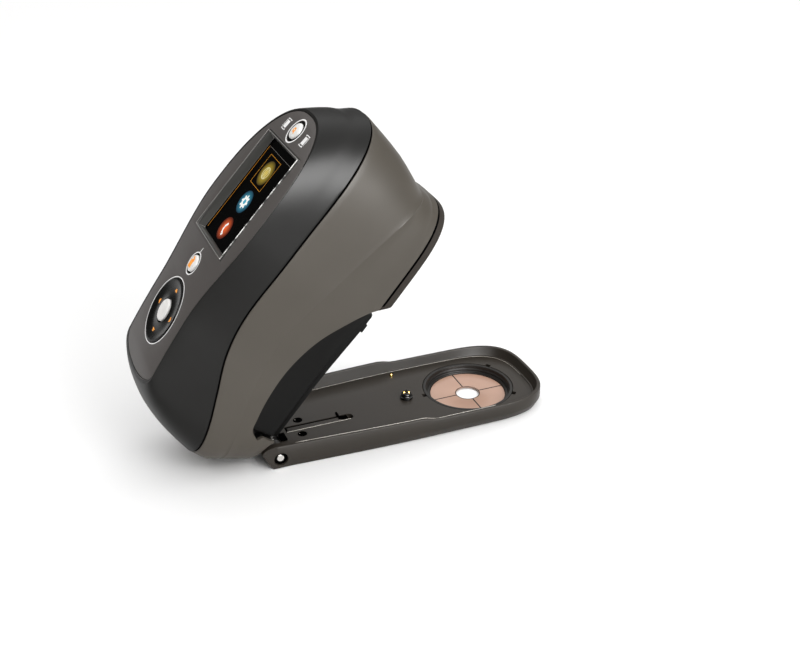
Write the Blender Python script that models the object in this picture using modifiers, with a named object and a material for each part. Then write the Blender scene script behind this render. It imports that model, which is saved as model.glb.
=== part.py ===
"""Sphere spectrophotometer: a handheld colour instrument hinged to its sampling shoe.

The shoe lies on the sample. A torsion spring holds the instrument open; pressing it down
lowers the measuring nose through the target ring on to the sample.

Frame: +X runs from the hinge to the front, +Z is up, and the origin is on the shoe's
underside, straight below the hinge axis. Instrument pieces are drawn as they lie when the
shoe is closed, and the empty on the hinge axis tips them open.
All lengths are in metres and angles in degrees.
"""
import math

import bmesh
import bpy
from mathutils import Matrix, Vector

for stale in list(bpy.data.objects):
    bpy.data.objects.remove(stale, do_unlink=True)

# Fits shared by all pieces
seat_gap = 0.0003
button_gap = 0.0005
overrun = 0.003
weld_distance = 0.00001
fillet = 0.0006

# Hinge
open_angle = 49.9
hinge_height = 0.0057
pin_radius = 0.0025
knuckle_radius = 0.0042
knuckle_length = 0.0110
hinge_sweep = 0.0131

# Sampling shoe
shoe_rear = -0.0044
shoe_wall = 0.0020
shoe_floor = 0.0061
shoe_web = 0.0012
rim_front_height = 0.0122
rim_rear_height = 0.0157
rim_step_start = 0.0870
rim_step_end = 0.0980
ear_thickness = 0.0037
ear_proud = 0.0002
ear_top = 0.0161
ear_rear = 0.0107
pin_recess_radius = 0.0042
pin_recess_depth = 0.0016

# Target ring and window
ring_radius = 0.0287
lug_reach = 0.0022
lug_height = 0.0014
lug_level = 0.0028
lug_width = 0.0026
ring_to_window = 0.0049
window_radius = ring_radius - ring_to_window
window_thickness = 0.0005
sample_hole_radius = 0.0073

# Instrument body
body_rear = -0.0257
body_front = 0.1878
body_half_grip = 0.0368
body_half_head = 0.0420
front_to_target = 0.0536
front_to_shoe = 0.0111
shoe_in_rear = 0.0035
shoe_in_head = 0.0037
target_x = body_front - front_to_target
shoe_front = body_front - front_to_shoe
shoe_half_rear = body_half_grip - shoe_in_rear
shoe_half_head = body_half_head - shoe_in_head
ear_half = shoe_half_rear + ear_proud
ear_inner = ear_half - ear_thickness
flare_start = 0.0450
flare_end = 0.1050
shell_wall = 0.0022
seam_gap = 0.0006
crown_x = 0.0865
crown_height = 0.10695
crown_radius = 0.610
parting_drop = 0.02495
parting_height = crown_height - parting_drop
nose_floor = 0.0158
belly_floor = 0.0142

# Panel and controls
panel_rear = 0.0004
panel_in_front = 0.0178
panel_in_grip = 0.0062
panel_in_head = 0.0010
panel_front = body_front - panel_in_front
panel_half_grip = body_half_grip - panel_in_grip
panel_half_head = body_half_head - panel_in_head
panel_thickness = 0.0009
rim_width = 0.0008
nav_x = 0.0366
nav_radius = 0.0190
nav_bore = 0.0073
nav_button_radius = 0.0065
option_x = 0.0677
option_radius = 0.0058
measure_x = 0.1590
measure_radius = 0.0063
key_cap_radius = 0.0050
button_travel = 0.0006
panel_to_display = 0.0203
display_length = 0.0674
display_front = panel_front - panel_to_display
display_rear = display_front - display_length
display_half = 0.02695
display_depth = 0.0030

# Measuring optics
sphere_height = 0.0450
sphere_radius = 0.0250
sphere_wall = 0.0018
port_radius = 0.0080

cap_steps = 7
side_steps = 11
round_segments = 36
button_segments = 24
small_segments = 12

collection = bpy.data.collections.new("sphere_spectrophotometer")
cutters = bpy.data.collections.new("cutters")
bpy.context.scene.collection.children.link(collection)
bpy.context.scene.collection.children.link(cutters)


def finish_of(name, colour, roughness, metallic=0.0):
    """A Principled material for one finish."""
    material = bpy.data.materials.new(name)
    material.use_nodes = True
    shader = material.node_tree.nodes["Principled BSDF"]
    shader.inputs["Base Color"].default_value = (*colour, 1.0)
    shader.inputs["Roughness"].default_value = roughness
    shader.inputs["Metallic"].default_value = metallic
    return material


charcoal = finish_of("charcoal_plastic", (0.030, 0.029, 0.026), 0.42)
warm_grey = finish_of("warm_grey_plastic", (0.135, 0.122, 0.105), 0.45)
shoe_black = finish_of("shoe_black_plastic", (0.045, 0.041, 0.036), 0.40)
soft_brown = finish_of("gasket_rubber", (0.062, 0.050, 0.042), 0.80)
panel_brown = finish_of("panel_film", (0.105, 0.085, 0.080), 0.50)
gloss_black = finish_of("gloss_black", (0.012, 0.012, 0.010), 0.15)
button_white = finish_of("button_white", (0.80, 0.79, 0.75), 0.35)
frosted = finish_of("frosted_window", (0.78, 0.62, 0.54), 0.55)
steel = finish_of("steel", (0.62, 0.60, 0.57), 0.30, 1.0)
gold = finish_of("gold_contact", (0.83, 0.60, 0.18), 0.25, 1.0)
cast_alloy = finish_of("cast_alloy", (0.50, 0.49, 0.46), 0.50, 1.0)
board_green = finish_of("board_green", (0.03, 0.15, 0.07), 0.50)
sphere_white = finish_of("sphere_white", (0.85, 0.85, 0.83), 0.90)
cell_blue = finish_of("cell_wrap", (0.05, 0.10, 0.30), 0.45)

hinge_axis = bpy.data.objects.new("hinge_axis", None)
collection.objects.link(hinge_axis)
hinge_axis.location = (0, 0, hinge_height)
hinge_axis.rotation_euler = (0, -math.radians(open_angle), 0)
closed_to_hinge = Matrix.Translation((0, 0, -hinge_height))


def smooth_step(value, start, end):
    share = min(max((value - start) / (end - start), 0), 1)
    return share * share * (3 - 2 * share)


def blend(start, end, share):
    return start + (end - start) * share


def through(points, x):
    """A smooth curve through (x, value) points, level at its ends."""
    if x <= points[0][0]:
        return points[0][1]
    for index in range(len(points) - 1):
        x0, low = points[index]
        x1, high = points[index + 1]
        if x > x1:
            continue
        before = points[max(index - 1, 0)]
        after = points[min(index + 2, len(points) - 1)]
        slope0 = (high - before[1]) / (x1 - before[0])
        slope1 = (after[1] - low) / (after[0] - x0)
        t = (x - x0) / (x1 - x0)
        run = x1 - x0
        return ((2 * t**3 - 3 * t**2 + 1) * low + (t**3 - 2 * t**2 + t) * run * slope0
                + (3 * t**2 - 2 * t**3) * high + (t**3 - t**2) * run * slope1)
    return points[-1][1]


def add_mesh(name, bm, material, instrument, where=None):
    """Turn a bmesh into a named object of the shoe's or the instrument's frame."""
    mesh = bpy.data.meshes.new(name)
    bm.to_mesh(mesh)
    bm.free()
    piece = bpy.data.objects.new(name, mesh)
    if material is None:
        cutters.objects.link(piece)
        piece.hide_render = True
        piece.display_type = "WIRE"
    else:
        collection.objects.link(piece)
        mesh.materials.append(material)
        mesh.shade_smooth()
        mesh.set_sharp_from_angle(angle=math.radians(35))
    if where is not None:
        piece.matrix_basis = where
    if instrument:
        piece.parent = hinge_axis
        piece.matrix_parent_inverse = closed_to_hinge
    return piece


def boolean(piece, other, operation):
    step = piece.modifiers.new(f"{operation.lower()}_{other.name}", "BOOLEAN")
    step.operation = operation
    step.solver = "EXACT"
    step.object = other
    return step


def cut(piece, *tools):
    for tool in tools:
        boolean(piece, tool, "DIFFERENCE")


def join(piece, *additions):
    for addition in additions:
        boolean(piece, addition, "UNION")


def soften(piece, width, segments=2):
    bevel = piece.modifiers.new("edges", "BEVEL")
    bevel.width = width
    bevel.segments = segments
    bevel.limit_method = "ANGLE"
    bevel.angle_limit = math.radians(40)
    bevel.use_clamp_overlap = True
    return bevel


def half_width(x, grip, head):
    return blend(grip, head, smooth_step(x, flare_start, flare_end))


def outline(rear, front, grip, head, rear_round, front_round, powers, height, side=None):
    """A plan outline: superellipse ends joined by sides that flare from grip to head."""
    rear_power, front_power = powers
    side = side or (lambda x: half_width(x, grip, head))
    half = []
    for step in range(cap_steps + 1):
        angle = math.pi / 2 * step / cap_steps
        x = rear + rear_round * (1 - math.cos(angle) ** (2 / rear_power))
        half.append((x, side(x) * math.sin(angle) ** (2 / rear_power)))
    for step in range(1, side_steps):
        x = blend(rear + rear_round, front - front_round, step / side_steps)
        half.append((x, side(x)))
    for step in range(cap_steps, -1, -1):
        angle = math.pi / 2 * step / cap_steps
        x = front - front_round * (1 - math.cos(angle) ** (2 / front_power))
        half.append((x, side(x) * math.sin(angle) ** (2 / front_power)))
    near = [(x, -y, height(x)) for x, y in half]
    far = [(x, y, height(x)) for x, y in reversed(half[1:-1])]
    return near + far


def loft(name, rings, material, instrument, looped=False):
    """Skin a chain of outlines. A chain that isn't looped is capped at both ends."""
    bm = bmesh.new()
    loops = [[bm.verts.new(point) for point in ring] for ring in rings]
    count = len(loops[0])
    pairs = list(zip(loops, loops[1:]))
    if looped:
        pairs.append((loops[-1], loops[0]))
    for low, high in pairs:
        for index in range(count):
            after = (index + 1) % count
            bm.faces.new((low[index], low[after], high[after], high[index]))
    if not looped:
        for ring, upward in ((loops[0], False), (loops[-1], True)):
            for index in range(count // 2):
                strip = [ring[index], ring[index + 1], ring[count - index - 1], ring[-index]]
                corners = list(dict.fromkeys(strip))
                bm.faces.new(corners if upward else corners[::-1])
    return add_mesh(name, bm, material, instrument)


def box(name, low, high, material, instrument, where=None):
    bm = bmesh.new()
    size = Vector(high) - Vector(low)
    centre = (Vector(high) + Vector(low)) / 2
    bmesh.ops.create_cube(bm, size=1, matrix=Matrix.Translation(centre) @ Matrix.Diagonal((*size, 1)))
    return add_mesh(name, bm, material, instrument, where)


def rod(name, start, end, radius, material, instrument, segments=small_segments, end_radius=None, where=None):
    """A round bar or cone between two points."""
    bm = bmesh.new()
    start, end = Vector(start), Vector(end)
    along = end - start
    turn = Vector((0, 0, 1)).rotation_difference(along).to_matrix().to_4x4()
    bmesh.ops.create_cone(
        bm, cap_ends=True, segments=segments, radius1=radius,
        radius2=radius if end_radius is None else end_radius, depth=along.length,
        matrix=Matrix.Translation((start + end) / 2) @ turn)
    return add_mesh(name, bm, material, instrument, where)


def turned(name, profile, material, instrument, where, segments=round_segments):
    """Revolve a (radius, height) profile about Z, its outer side run top to bottom.

    A profile that starts on the axis stays open there; any other is closed into a ring.
    """
    bm = bmesh.new()
    points = [bm.verts.new((radius, 0, height)) for radius, height in profile]
    for before, after in zip(points, points[1:]):
        bm.edges.new((before, after))
    if profile[0][0] > 0:
        bm.edges.new((points[-1], points[0]))
    piece = add_mesh(name, bm, material, instrument, where)
    screw = piece.modifiers.new("turn", "SCREW")
    screw.steps = segments
    screw.render_steps = segments
    screw.use_merge_vertices = True
    screw.merge_threshold = weld_distance
    return piece


def prism(name, profile, half_depth, material, instrument, centre=0):
    """Extrude an (x, z) side profile across Y."""
    bm = bmesh.new()
    near = [bm.verts.new((x, centre - half_depth, z)) for x, z in profile]
    face = bm.faces.new(near)
    grown = bmesh.ops.extrude_face_region(bm, geom=[face])
    moved = [item for item in grown["geom"] if isinstance(item, bmesh.types.BMVert)]
    bmesh.ops.translate(bm, vec=(0, 2 * half_depth, 0), verts=moved)
    bmesh.ops.recalc_face_normals(bm, faces=bm.faces)
    return add_mesh(name, bm, material, instrument)


# Levels of the instrument's skin

parting_shares = ((0, 0.616), (0.127, 0.726), (0.209, 0.817), (0.308, 0.927), (0.42, 0.988),
                  (0.55, 1.0), (0.77, 0.976), (1.0, 0.951))
crease_shares = ((0.01, 0.40), (0.237, 0.59), (0.34, 0.64), (0.43, 0.658), (0.514, 0.634),
                 (0.593, 0.60), (0.767, 0.512), (0.874, 0.445), (0.94, 0.39), (1.0, 0.38))
body_length = body_front - body_rear


def body_share(x):
    return (x - body_rear) / body_length


def panel_height(x):
    return crown_height - (x - crown_x) ** 2 / (2 * crown_radius)


def panel_slope(x):
    return math.atan((crown_x - x) / crown_radius)


def parting(x):
    return parting_height * through(parting_shares, body_share(x))


def crease(x):
    return parting_height * through(crease_shares, body_share(x))


# Each cover level: height share, then how far the rear, the front and the sides have come in
cover_level_shares = ((0, 0, 0, 0), (0.27, 0.14, 0.22, 0.11), (0.52, 0.31, 0.46, 0.31),
                      (0.76, 0.54, 0.69, 0.56), (0.92, 0.77, 0.86, 0.80), (1.0, 0.955, 0.96, 0.985))
body_rear_round = 0.030
body_front_round = 0.050
body_powers = (3.0, 4.0)
panel_rear_round = 0.011
panel_front_round = 0.060
panel_powers = (2.2, 2.4)
ceiling_thickness = 0.0020


def panel_outline(grow, height):
    return outline(panel_rear - grow, panel_front + grow, panel_half_grip + grow, panel_half_head + grow,
                   panel_rear_round + grow, panel_front_round + grow, panel_powers, height)


def cover_outline(level, inset, drop=0):
    up, rear_in, front_in, side_in = level
    rim = seat_gap + rim_width
    powers = tuple(blend(low, high, up) for low, high in zip(body_powers, panel_powers))
    return outline(
        blend(body_rear, panel_rear - rim, rear_in) + inset,
        blend(body_front, panel_front + rim, front_in) - inset,
        blend(body_half_grip, panel_half_grip + rim, side_in) - inset,
        blend(body_half_head, panel_half_head + rim, side_in) - inset,
        blend(body_rear_round, panel_rear_round, up),
        blend(body_front_round, panel_front_round, up), powers,
        lambda x: blend(parting(x) + seam_gap / 2, panel_height(x), up) - drop)


# Top cover: a charcoal moulding whose skin rolls from the seam up to the panel's seat
seat_drop = panel_thickness + seat_gap
ceiling_drop = seat_drop + ceiling_thickness
inner_levels = [cover_level_shares[index] for index in (0, 2, 3)]
cover_rings = [panel_outline(-shell_wall, lambda x: panel_height(x) - ceiling_drop)]
cover_rings += [cover_outline(level, shell_wall) for level in reversed(inner_levels)]
cover_rings += [cover_outline(level, 0) for level in cover_level_shares]
cover_rings += [panel_outline(seat_gap, panel_height)]
cover_rings += [panel_outline(seat_gap, lambda x: panel_height(x) - seat_drop)]
top_cover = loft("top_cover", cover_rings, charcoal, True)

# Lower housing: the warm grey shell below the seam, arched at both sides for the fingers
rim_line_height = 0.0208
rim_line_in = 0.0092
rim_line_in_front = 0.0142
rim_line_in_grip = 0.0023
rim_line_in_head = 0.0034
base_in = 0.0129
base_in_front = 0.0148
base_in_grip = 0.0029
base_in_head = 0.0040
crease_in = 0.0032
crease_in_front = 0.0123
crease_in_grip = 0.0004
crease_in_head = 0.0013
rim_line_rear = body_rear + rim_line_in
rim_line_front = body_front - rim_line_in_front
rim_line_half_grip = body_half_grip - rim_line_in_grip
rim_line_half_head = body_half_head - rim_line_in_head
base_rear = body_rear + base_in
base_front = body_front - base_in_front
base_half_grip = body_half_grip - base_in_grip
base_half_head = body_half_head - base_in_head
base_front_round = 0.046
base_powers = (3.0, 3.2)
crease_rear = body_rear + crease_in
crease_front = body_front - crease_in_front
crease_half_grip = body_half_grip - crease_in_grip
crease_half_head = body_half_head - crease_in_head
belly_of_shell_share = 0.5


def base_outline(inset, height, rear=base_rear, front=base_front):
    return outline(rear + inset, front - inset, base_half_grip - inset, base_half_head - inset,
                   body_rear_round, base_front_round, base_powers, height)


def shell_outline(level, inset):
    if level == "base":
        return base_outline(inset, lambda x: nose_floor)
    if level == "rim line":
        return outline(rim_line_rear + inset, rim_line_front - inset, rim_line_half_grip - inset,
                       rim_line_half_head - inset, body_rear_round, base_front_round, base_powers,
                       lambda x: rim_line_height)
    if level == "crease":
        return outline(crease_rear + inset, crease_front - inset, crease_half_grip - inset,
                       crease_half_head - inset, body_rear_round, base_front_round, base_powers, crease)
    if level == "middle":
        middle = belly_of_shell_share
        return outline(body_rear + inset, blend(crease_front, body_front, middle) - inset,
                       body_half_grip - inset, blend(crease_half_head, body_half_head, middle) - inset,
                       body_rear_round, body_front_round, body_powers,
                       lambda x: blend(crease(x), parting(x) - seam_gap / 2, middle))
    return outline(body_rear + inset, body_front - inset, body_half_grip - inset, body_half_head - inset,
                   body_rear_round, body_front_round, body_powers, lambda x: parting(x) - seam_gap / 2)


shell_levels = ("base", "rim line", "crease", "middle", "seam")
shell_rings = [shell_outline(level, 0) for level in shell_levels]
shell_rings += [shell_outline(level, shell_wall) for level in reversed(shell_levels)]
lower_housing = loft("lower_housing", shell_rings, warm_grey, True, looped=True)

arch_rear = 0.0044
arch_to_target = 0.0284
arch_front = target_x - arch_to_target
arch_height = 0.0393
leg_front = 0.0075
leg_height = 0.0255
arch_shares = ((0, 0.70), (0.04, 0.86), (0.115, 0.92), (0.22, 0.972), (0.35, 1.0), (0.47, 0.99),
               (0.62, 0.93), (0.73, 0.84), (0.87, 0.66), (0.95, 0.53), (1.0, 0.40))
arch_steps = 26


def arch(x):
    return arch_height * through(arch_shares, (x - arch_rear) / (arch_front - arch_rear))


arch_profile = [(leg_front, -overrun), (leg_front, leg_height)]
for step in range(arch_steps + 1):
    x = blend(arch_rear, arch_front, (step / arch_steps) ** 1.3)
    arch_profile.append((x, arch(x)))
arch_profile.append((arch_front, -overrun))
arch_cutter = prism("arch_cutter", arch_profile, body_half_head + overrun, None, True)
sweep_cutter = rod("hinge_sweep_cutter", (0, -body_half_head, hinge_height),
                   (0, body_half_head, hinge_height), hinge_sweep, None, True, round_segments)
cut(lower_housing, arch_cutter, sweep_cutter)

# Belly pan: the black tub that closes the grip and carries the battery
belly_rear = 0.0064
belly_to_target = 0.0308
belly_front = target_x - belly_to_target
belly_lip = 0.0020
belly_wall = 0.0018
belly_side_gap = 0.0006
belly_bulge_height = 0.0185
belly_bulge_in = 0.0006
belly_floor_in_rear = 0.0024
belly_floor_in_front = 0.0014
belly_end_in = 0.0008
belly_round = 0.005
belly_powers = (6.0, 6.0)


def inside_shell(x, height):
    """Half the width between the shell's inner faces, at a height under its crease."""
    rim_half = half_width(x, rim_line_half_grip, rim_line_half_head)
    crease_half = half_width(x, crease_half_grip, crease_half_head)
    share = (height - rim_line_height) / (crease(x) - rim_line_height)
    return blend(rim_half, crease_half, share) - shell_wall - belly_side_gap


def belly_lip_height(x):
    return arch(x) + belly_lip


def belly_floor_in(x):
    return blend(belly_floor_in_rear, belly_floor_in_front, (x - belly_rear) / (belly_front - belly_rear))


def belly_outline(inset, end_inset, height):
    return outline(belly_rear + end_inset, belly_front - end_inset, 0, 0, belly_round, belly_round,
                   belly_powers, height, lambda x: inside_shell(x, height(x)) - inset(x))


belly_rings = [
    belly_outline(belly_floor_in, 2 * belly_end_in, lambda x: belly_floor),
    belly_outline(lambda x: belly_bulge_in, belly_end_in, lambda x: belly_bulge_height),
    belly_outline(lambda x: 0, 0, belly_lip_height),
    belly_outline(lambda x: belly_wall, belly_wall, belly_lip_height),
    belly_outline(lambda x: belly_bulge_in + belly_wall, belly_end_in + belly_wall,
                  lambda x: belly_bulge_height + belly_wall / 2),
    belly_outline(lambda x: belly_floor_in(x) + belly_wall, 2 * belly_end_in + belly_wall,
                  lambda x: belly_floor + belly_wall)]
belly_pan = loft("belly_pan", belly_rings, charcoal, True)
foot_to_front = 0.0095
foot_length = 0.0055
foot_drop = 0.0017
foot_in = 0.0055
foot_outer = base_half_head - foot_in
foot_width = 0.0040
for side in (-1, 1):
    low, high = sorted((side * (foot_outer - foot_width), side * foot_outer))
    foot_front = belly_front - foot_to_front
    foot = box(f"belly_foot_{side}", (foot_front - foot_length, low, belly_floor - foot_drop),
               (foot_front, high, belly_floor + belly_wall / 2), None, True)
    join(belly_pan, foot)

# Head plate, gasket and nose: what meets the shoe's rim and the sample
head_plate_gap = 0.0009
head_plate_rear = belly_front + head_plate_gap
head_plate_thickness = 0.0025
gasket_height = 0.0065
gasket_width = 0.0042
gasket_inset = 0.0020
gasket_rake = 0.0050
gasket_to_target = 0.0306
gasket_rear = target_x - gasket_to_target
window_to_flange = 0.0013
nose_flange_reach = 0.0030
nose_flange_radius = window_radius - window_to_flange
nose_radius = nose_flange_radius - nose_flange_reach
nose_tip_radius = 0.0110
nose_tip_height = 0.0017
nose_bore = 0.0070
plate_low = nose_floor + seat_gap / 3


def head_outline(rear, inset, height):
    return outline(rear, base_front - inset, base_half_grip - inset, base_half_head - inset,
                   belly_round, base_front_round, (8.0, base_powers[1]), height)


plate_inset = shell_wall + seat_gap
head_plate = loft("head_plate", [head_outline(head_plate_rear, plate_inset, lambda x: plate_low),
                                 head_outline(head_plate_rear, plate_inset,
                                              lambda x: plate_low + head_plate_thickness)],
                  charcoal, True)
gasket_top = nose_floor - seat_gap
gasket_low = gasket_top - gasket_height
gasket_inner_rear = gasket_rear + gasket_width
gasket_inner = gasket_inset + gasket_width
gasket_rings = [head_outline(gasket_rear + gasket_rake, gasket_inset, lambda x: gasket_low),
                head_outline(gasket_rear, gasket_inset, lambda x: gasket_top),
                head_outline(gasket_inner_rear, gasket_inner, lambda x: gasket_top),
                head_outline(gasket_inner_rear + gasket_rake, gasket_inner, lambda x: gasket_low)]
head_gasket = loft("head_gasket", gasket_rings, soft_brown, True, looped=True)
at_target = Matrix.Translation((target_x, 0, 0))
nose_top = plate_low + head_plate_thickness + seat_gap
nose_flange_top = plate_low - seat_gap
nose_flange = 0.0030
nose_profile = [(nose_radius, nose_top), (nose_radius, nose_flange_top),
                (nose_flange_radius, nose_flange_top), (nose_flange_radius, nose_flange_top - nose_flange),
                (nose_tip_radius, nose_tip_height), (nose_bore, nose_tip_height), (port_radius, nose_top)]
measuring_nose = turned("measuring_nose", nose_profile, charcoal, True, at_target)
nose_hole = rod("nose_hole_cutter", (target_x, 0, plate_low - overrun), (target_x, 0, nose_top + overrun),
                nose_radius + seat_gap, None, True, round_segments)
cut(head_plate, nose_hole)

# Keypad panel: the printed film that lies flush in the cover's seat
panel_rings = [panel_outline(0, lambda x: panel_height(x) - panel_thickness), panel_outline(0, panel_height)]
keypad_panel = loft("keypad_panel", panel_rings, panel_brown, True)


def on_panel(x, lift=0):
    """A frame on the panel at x, its Z square to the panel."""
    return (Matrix.Translation((x, 0, panel_height(x))) @ Matrix.Rotation(-panel_slope(x), 4, "Y")
            @ Matrix.Translation((0, 0, lift)))


def panel_hole(name, x, radius):
    cutter = rod(name, (0, 0, -ceiling_drop - overrun), (0, 0, overrun), radius, None, True, round_segments,
                 where=on_panel(x))
    cut(top_cover, cutter)
    cut(keypad_panel, cutter)


panel_hole("nav_hole_cutter", nav_x, nav_radius + button_gap)
panel_hole("option_hole_cutter", option_x, option_radius + button_gap)
panel_hole("measure_hole_cutter", measure_x, measure_radius + button_gap)

# Buttons: each is a cap on a stem that presses a switch on the board below
cap_skirt = 0.0046
stem_radius = 0.0030
stem_reach = 0.0076
cap_depth = 0.0022
crown_rise = 0.0004
collar_drop = 0.0003
pad_rim_width = 0.0014
pad_deck = 0.0016
pad_hub_width = 0.0021
pad_dish = 0.0005


def button_profile(radius, cap, proud):
    """A domed cap, the collar about it where the key is wider, and the stem."""
    profile = [(0, proud + crown_rise), (cap * 0.6, proud + crown_rise * 0.7), (cap, proud - crown_rise)]
    if radius > cap:
        profile += [(cap, -collar_drop), (radius, -collar_drop)]
    return profile + [(radius, -cap_depth), (stem_radius, -cap_depth), (stem_radius, -stem_reach),
                      (0, -stem_reach)]


nav_profile = [(nav_radius - pad_dish, pad_dish), (nav_radius, 0), (nav_radius, -cap_skirt),
               (nav_radius - pad_rim_width, -cap_skirt), (nav_radius - pad_rim_width, -pad_deck),
               (nav_bore + pad_hub_width, -pad_deck), (nav_bore + pad_hub_width, -stem_reach),
               (nav_bore, -stem_reach), (nav_bore, 0), (nav_bore + pad_hub_width, -pad_dish),
               (nav_radius - 2 * pad_rim_width, 0)]
nav_pad = turned("nav_pad", nav_profile, gloss_black, True, on_panel(nav_x))
button_proud = 0.0008
for name, x, radius, cap in (("nav_button", nav_x, nav_button_radius, nav_button_radius),
                             ("option_button", option_x, option_radius, key_cap_radius),
                             ("measure_button", measure_x, measure_radius, key_cap_radius)):
    turned(name, button_profile(radius, cap, button_proud), button_white, True, on_panel(x), button_segments)


# Display: a tapered frame set through the panel, its glass and the module behind
display_x = (display_rear + display_front) / 2
display_reach = (display_front - display_rear) / 2
bezel_foot = 0.0006
bezel_side_slope = 0.0064
bezel_end_slope = 0.0023
glass_thickness = 0.0010
glass_inset = 0.0012
module_depth = 0.0045
module_reach = 0.0355
module_half = 0.0290
at_display = on_panel(display_x)


def display_box(name, reach, half, low, high, material):
    return box(name, (-reach, -half, low), (reach, half, high), material, True, at_display)


display_hole = display_box("display_hole_cutter", display_reach + seat_gap, display_half + seat_gap,
                           -ceiling_drop - overrun, overrun, None)
cut(top_cover, display_hole)
cut(keypad_panel, display_hole)
bezel_low = -display_depth - bezel_foot
display_bezel = display_box("display_bezel", display_reach, display_half, bezel_low, overrun, gloss_black)
above_panel = loft("above_panel_cutter", [panel_outline(-rim_width, panel_height),
                                          panel_outline(-rim_width, lambda x: panel_height(x) + 2 * overrun)],
                   None, True)
funnel_bm = bmesh.new()
opening_low = bmesh.ops.create_cube(funnel_bm, size=1)["verts"]
for corner in opening_low:
    top = corner.co.z > 0
    reach = display_reach - (fillet if top else bezel_end_slope)
    half = display_half - (fillet if top else bezel_side_slope)
    corner.co = (math.copysign(reach, corner.co.x), math.copysign(half, corner.co.y),
                 overrun if top else bezel_low - overrun)
funnel = add_mesh("display_funnel_cutter", funnel_bm, None, True, at_display)
cut(display_bezel, above_panel, funnel)
glass_top = bezel_low - seat_gap
display_glass = display_box("display_glass", display_reach - glass_inset, display_half - glass_inset,
                            glass_top - glass_thickness, glass_top, gloss_black)
module_top = -ceiling_drop - glass_thickness - 3 * seat_gap
display_module = display_box("display_module", module_reach, module_half, module_top - module_depth,
                             module_top, cast_alloy)

# Boards under the keys, hung from bosses in the cover's ceiling
board_thickness = 0.0016
switch_height = 0.0010
keypad_x = 0.0505
keypad_reach = 0.0250
keypad_half = 0.0240
keypad_boss_radius = 0.0022
keypad_boss_inset = 0.0035
measure_reach = 0.0075
measure_half = 0.0150
board_top = -stem_reach - switch_height - button_travel - 2 * seat_gap


def key_board(name, x, reach, half, switches):
    at_board = on_panel(x)
    board = box(name, (-reach, -half, board_top - board_thickness), (reach, half, board_top), board_green,
                True, at_board)
    for index, (along, across) in enumerate(switches):
        switch = rod(f"{name}_switch_{index}", (along, across, board_top - board_thickness / 2),
                     (along, across, board_top + switch_height), stem_radius, None, True, small_segments,
                     where=at_board)
        join(board, switch)
    for side in (-1, 1):
        along = reach - keypad_boss_inset
        across = side * (half - keypad_boss_inset)
        ends = (-along, along) if along > 3 * keypad_boss_radius else (0,)
        for end in ends:
            boss = rod(f"{name}_boss_{side}_{end > 0}", (end, across, board_top + seat_gap),
                       (end, across, -ceiling_drop + fillet), keypad_boss_radius, None, True, small_segments,
                       where=at_board)
            join(top_cover, boss)
    return board


keypad_board = key_board("keypad_board", keypad_x, keypad_reach, keypad_half,
                         ((nav_x - keypad_x, 0), (option_x - keypad_x, 0)))
measure_board = key_board("measure_board", measure_x, measure_reach, measure_half, ((0, 0),))

# Chassis: the plate that carries the board, the lamp and the belly
chassis_low = 0.0418
chassis_thickness = 0.0020
chassis_in = 0.0042
chassis_to_target = 0.0302
chassis_rear = body_rear + chassis_in
chassis_front = target_x - chassis_to_target
chassis_side_gap = 0.0010
chassis_top = chassis_low + chassis_thickness
board_rear = 0.0140
board_to_target = 0.0312
board_front = target_x - board_to_target
board_half = 0.0290
board_corner = 0.0045
standoff_radius = 0.0024
inlet_height_share = 0.866
usb_x = 0.0240
usb_half = 0.0045
usb_rise = 0.0017
usb_depth = 0.0090
usb_wall = 0.0004
jack_x = 0.0400
jack_radius = 0.0038
jack_bore = 0.0020
inlet_height = inlet_height_share * parting(usb_x)
board_height = inlet_height + jack_radius + seat_gap


def chassis_outline(height):
    return outline(chassis_rear, chassis_front, 0, 0, body_rear_round, belly_round, (base_powers[0], 8.0),
                   lambda x: height, lambda x: inside_shell(x, chassis_low) - chassis_side_gap)


chassis = loft("chassis", [chassis_outline(chassis_low), chassis_outline(chassis_top)], cast_alloy, True)
main_board = box("main_board", (board_rear, -board_half, board_height),
                 (board_front, board_half, board_height + board_thickness), board_green, True)
for x in (board_rear + board_corner, board_front - board_corner):
    for side in (-1, 1):
        y = side * (board_half - board_corner)
        standoff = rod(f"standoff_{x:.3f}_{side}", (x, y, chassis_top - chassis_thickness / 2),
                       (x, y, board_height - seat_gap), standoff_radius, None, True)
        join(chassis, standoff)

# Battery and its door in the belly
battery_in_rear = 0.0106
battery_in_front = 0.0274
battery_half = 0.0225
battery_height = 0.0205
door_margin_rear = 0.0070
door_margin_front = 0.0060
door_half = 0.0195
battery_rear = belly_rear + battery_in_rear
battery_front = belly_front - battery_in_front
door_rear = battery_rear + door_margin_rear
door_front = battery_front - door_margin_front
tongue_half = 0.0080
tongue_reach = 0.0020
tongue_thickness = 0.0008
belly_inside = belly_floor + belly_wall
door_hole = box("door_hole_cutter", (door_rear, -door_half, belly_floor - overrun),
                (door_front, door_half, belly_inside + overrun), None, True)
cut(belly_pan, door_hole)
tongue_top = belly_inside + seat_gap + tongue_thickness
battery_door = box("battery_door", (door_rear + seat_gap, -door_half + seat_gap, belly_floor),
                   (door_front - seat_gap, door_half - seat_gap, tongue_top), charcoal, True)
door_tongue = box("door_tongue", (door_rear - tongue_reach, -tongue_half, belly_inside + seat_gap),
                  (door_front + tongue_reach, tongue_half, tongue_top), None, True)
join(battery_door, door_tongue)
battery_low = tongue_top + seat_gap
battery_pack = box("battery_pack", (battery_rear, -battery_half, battery_low),
                   (battery_front, battery_half, battery_low + battery_height), cell_blue, True)
soften(battery_pack, 4 * fillet)

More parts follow.
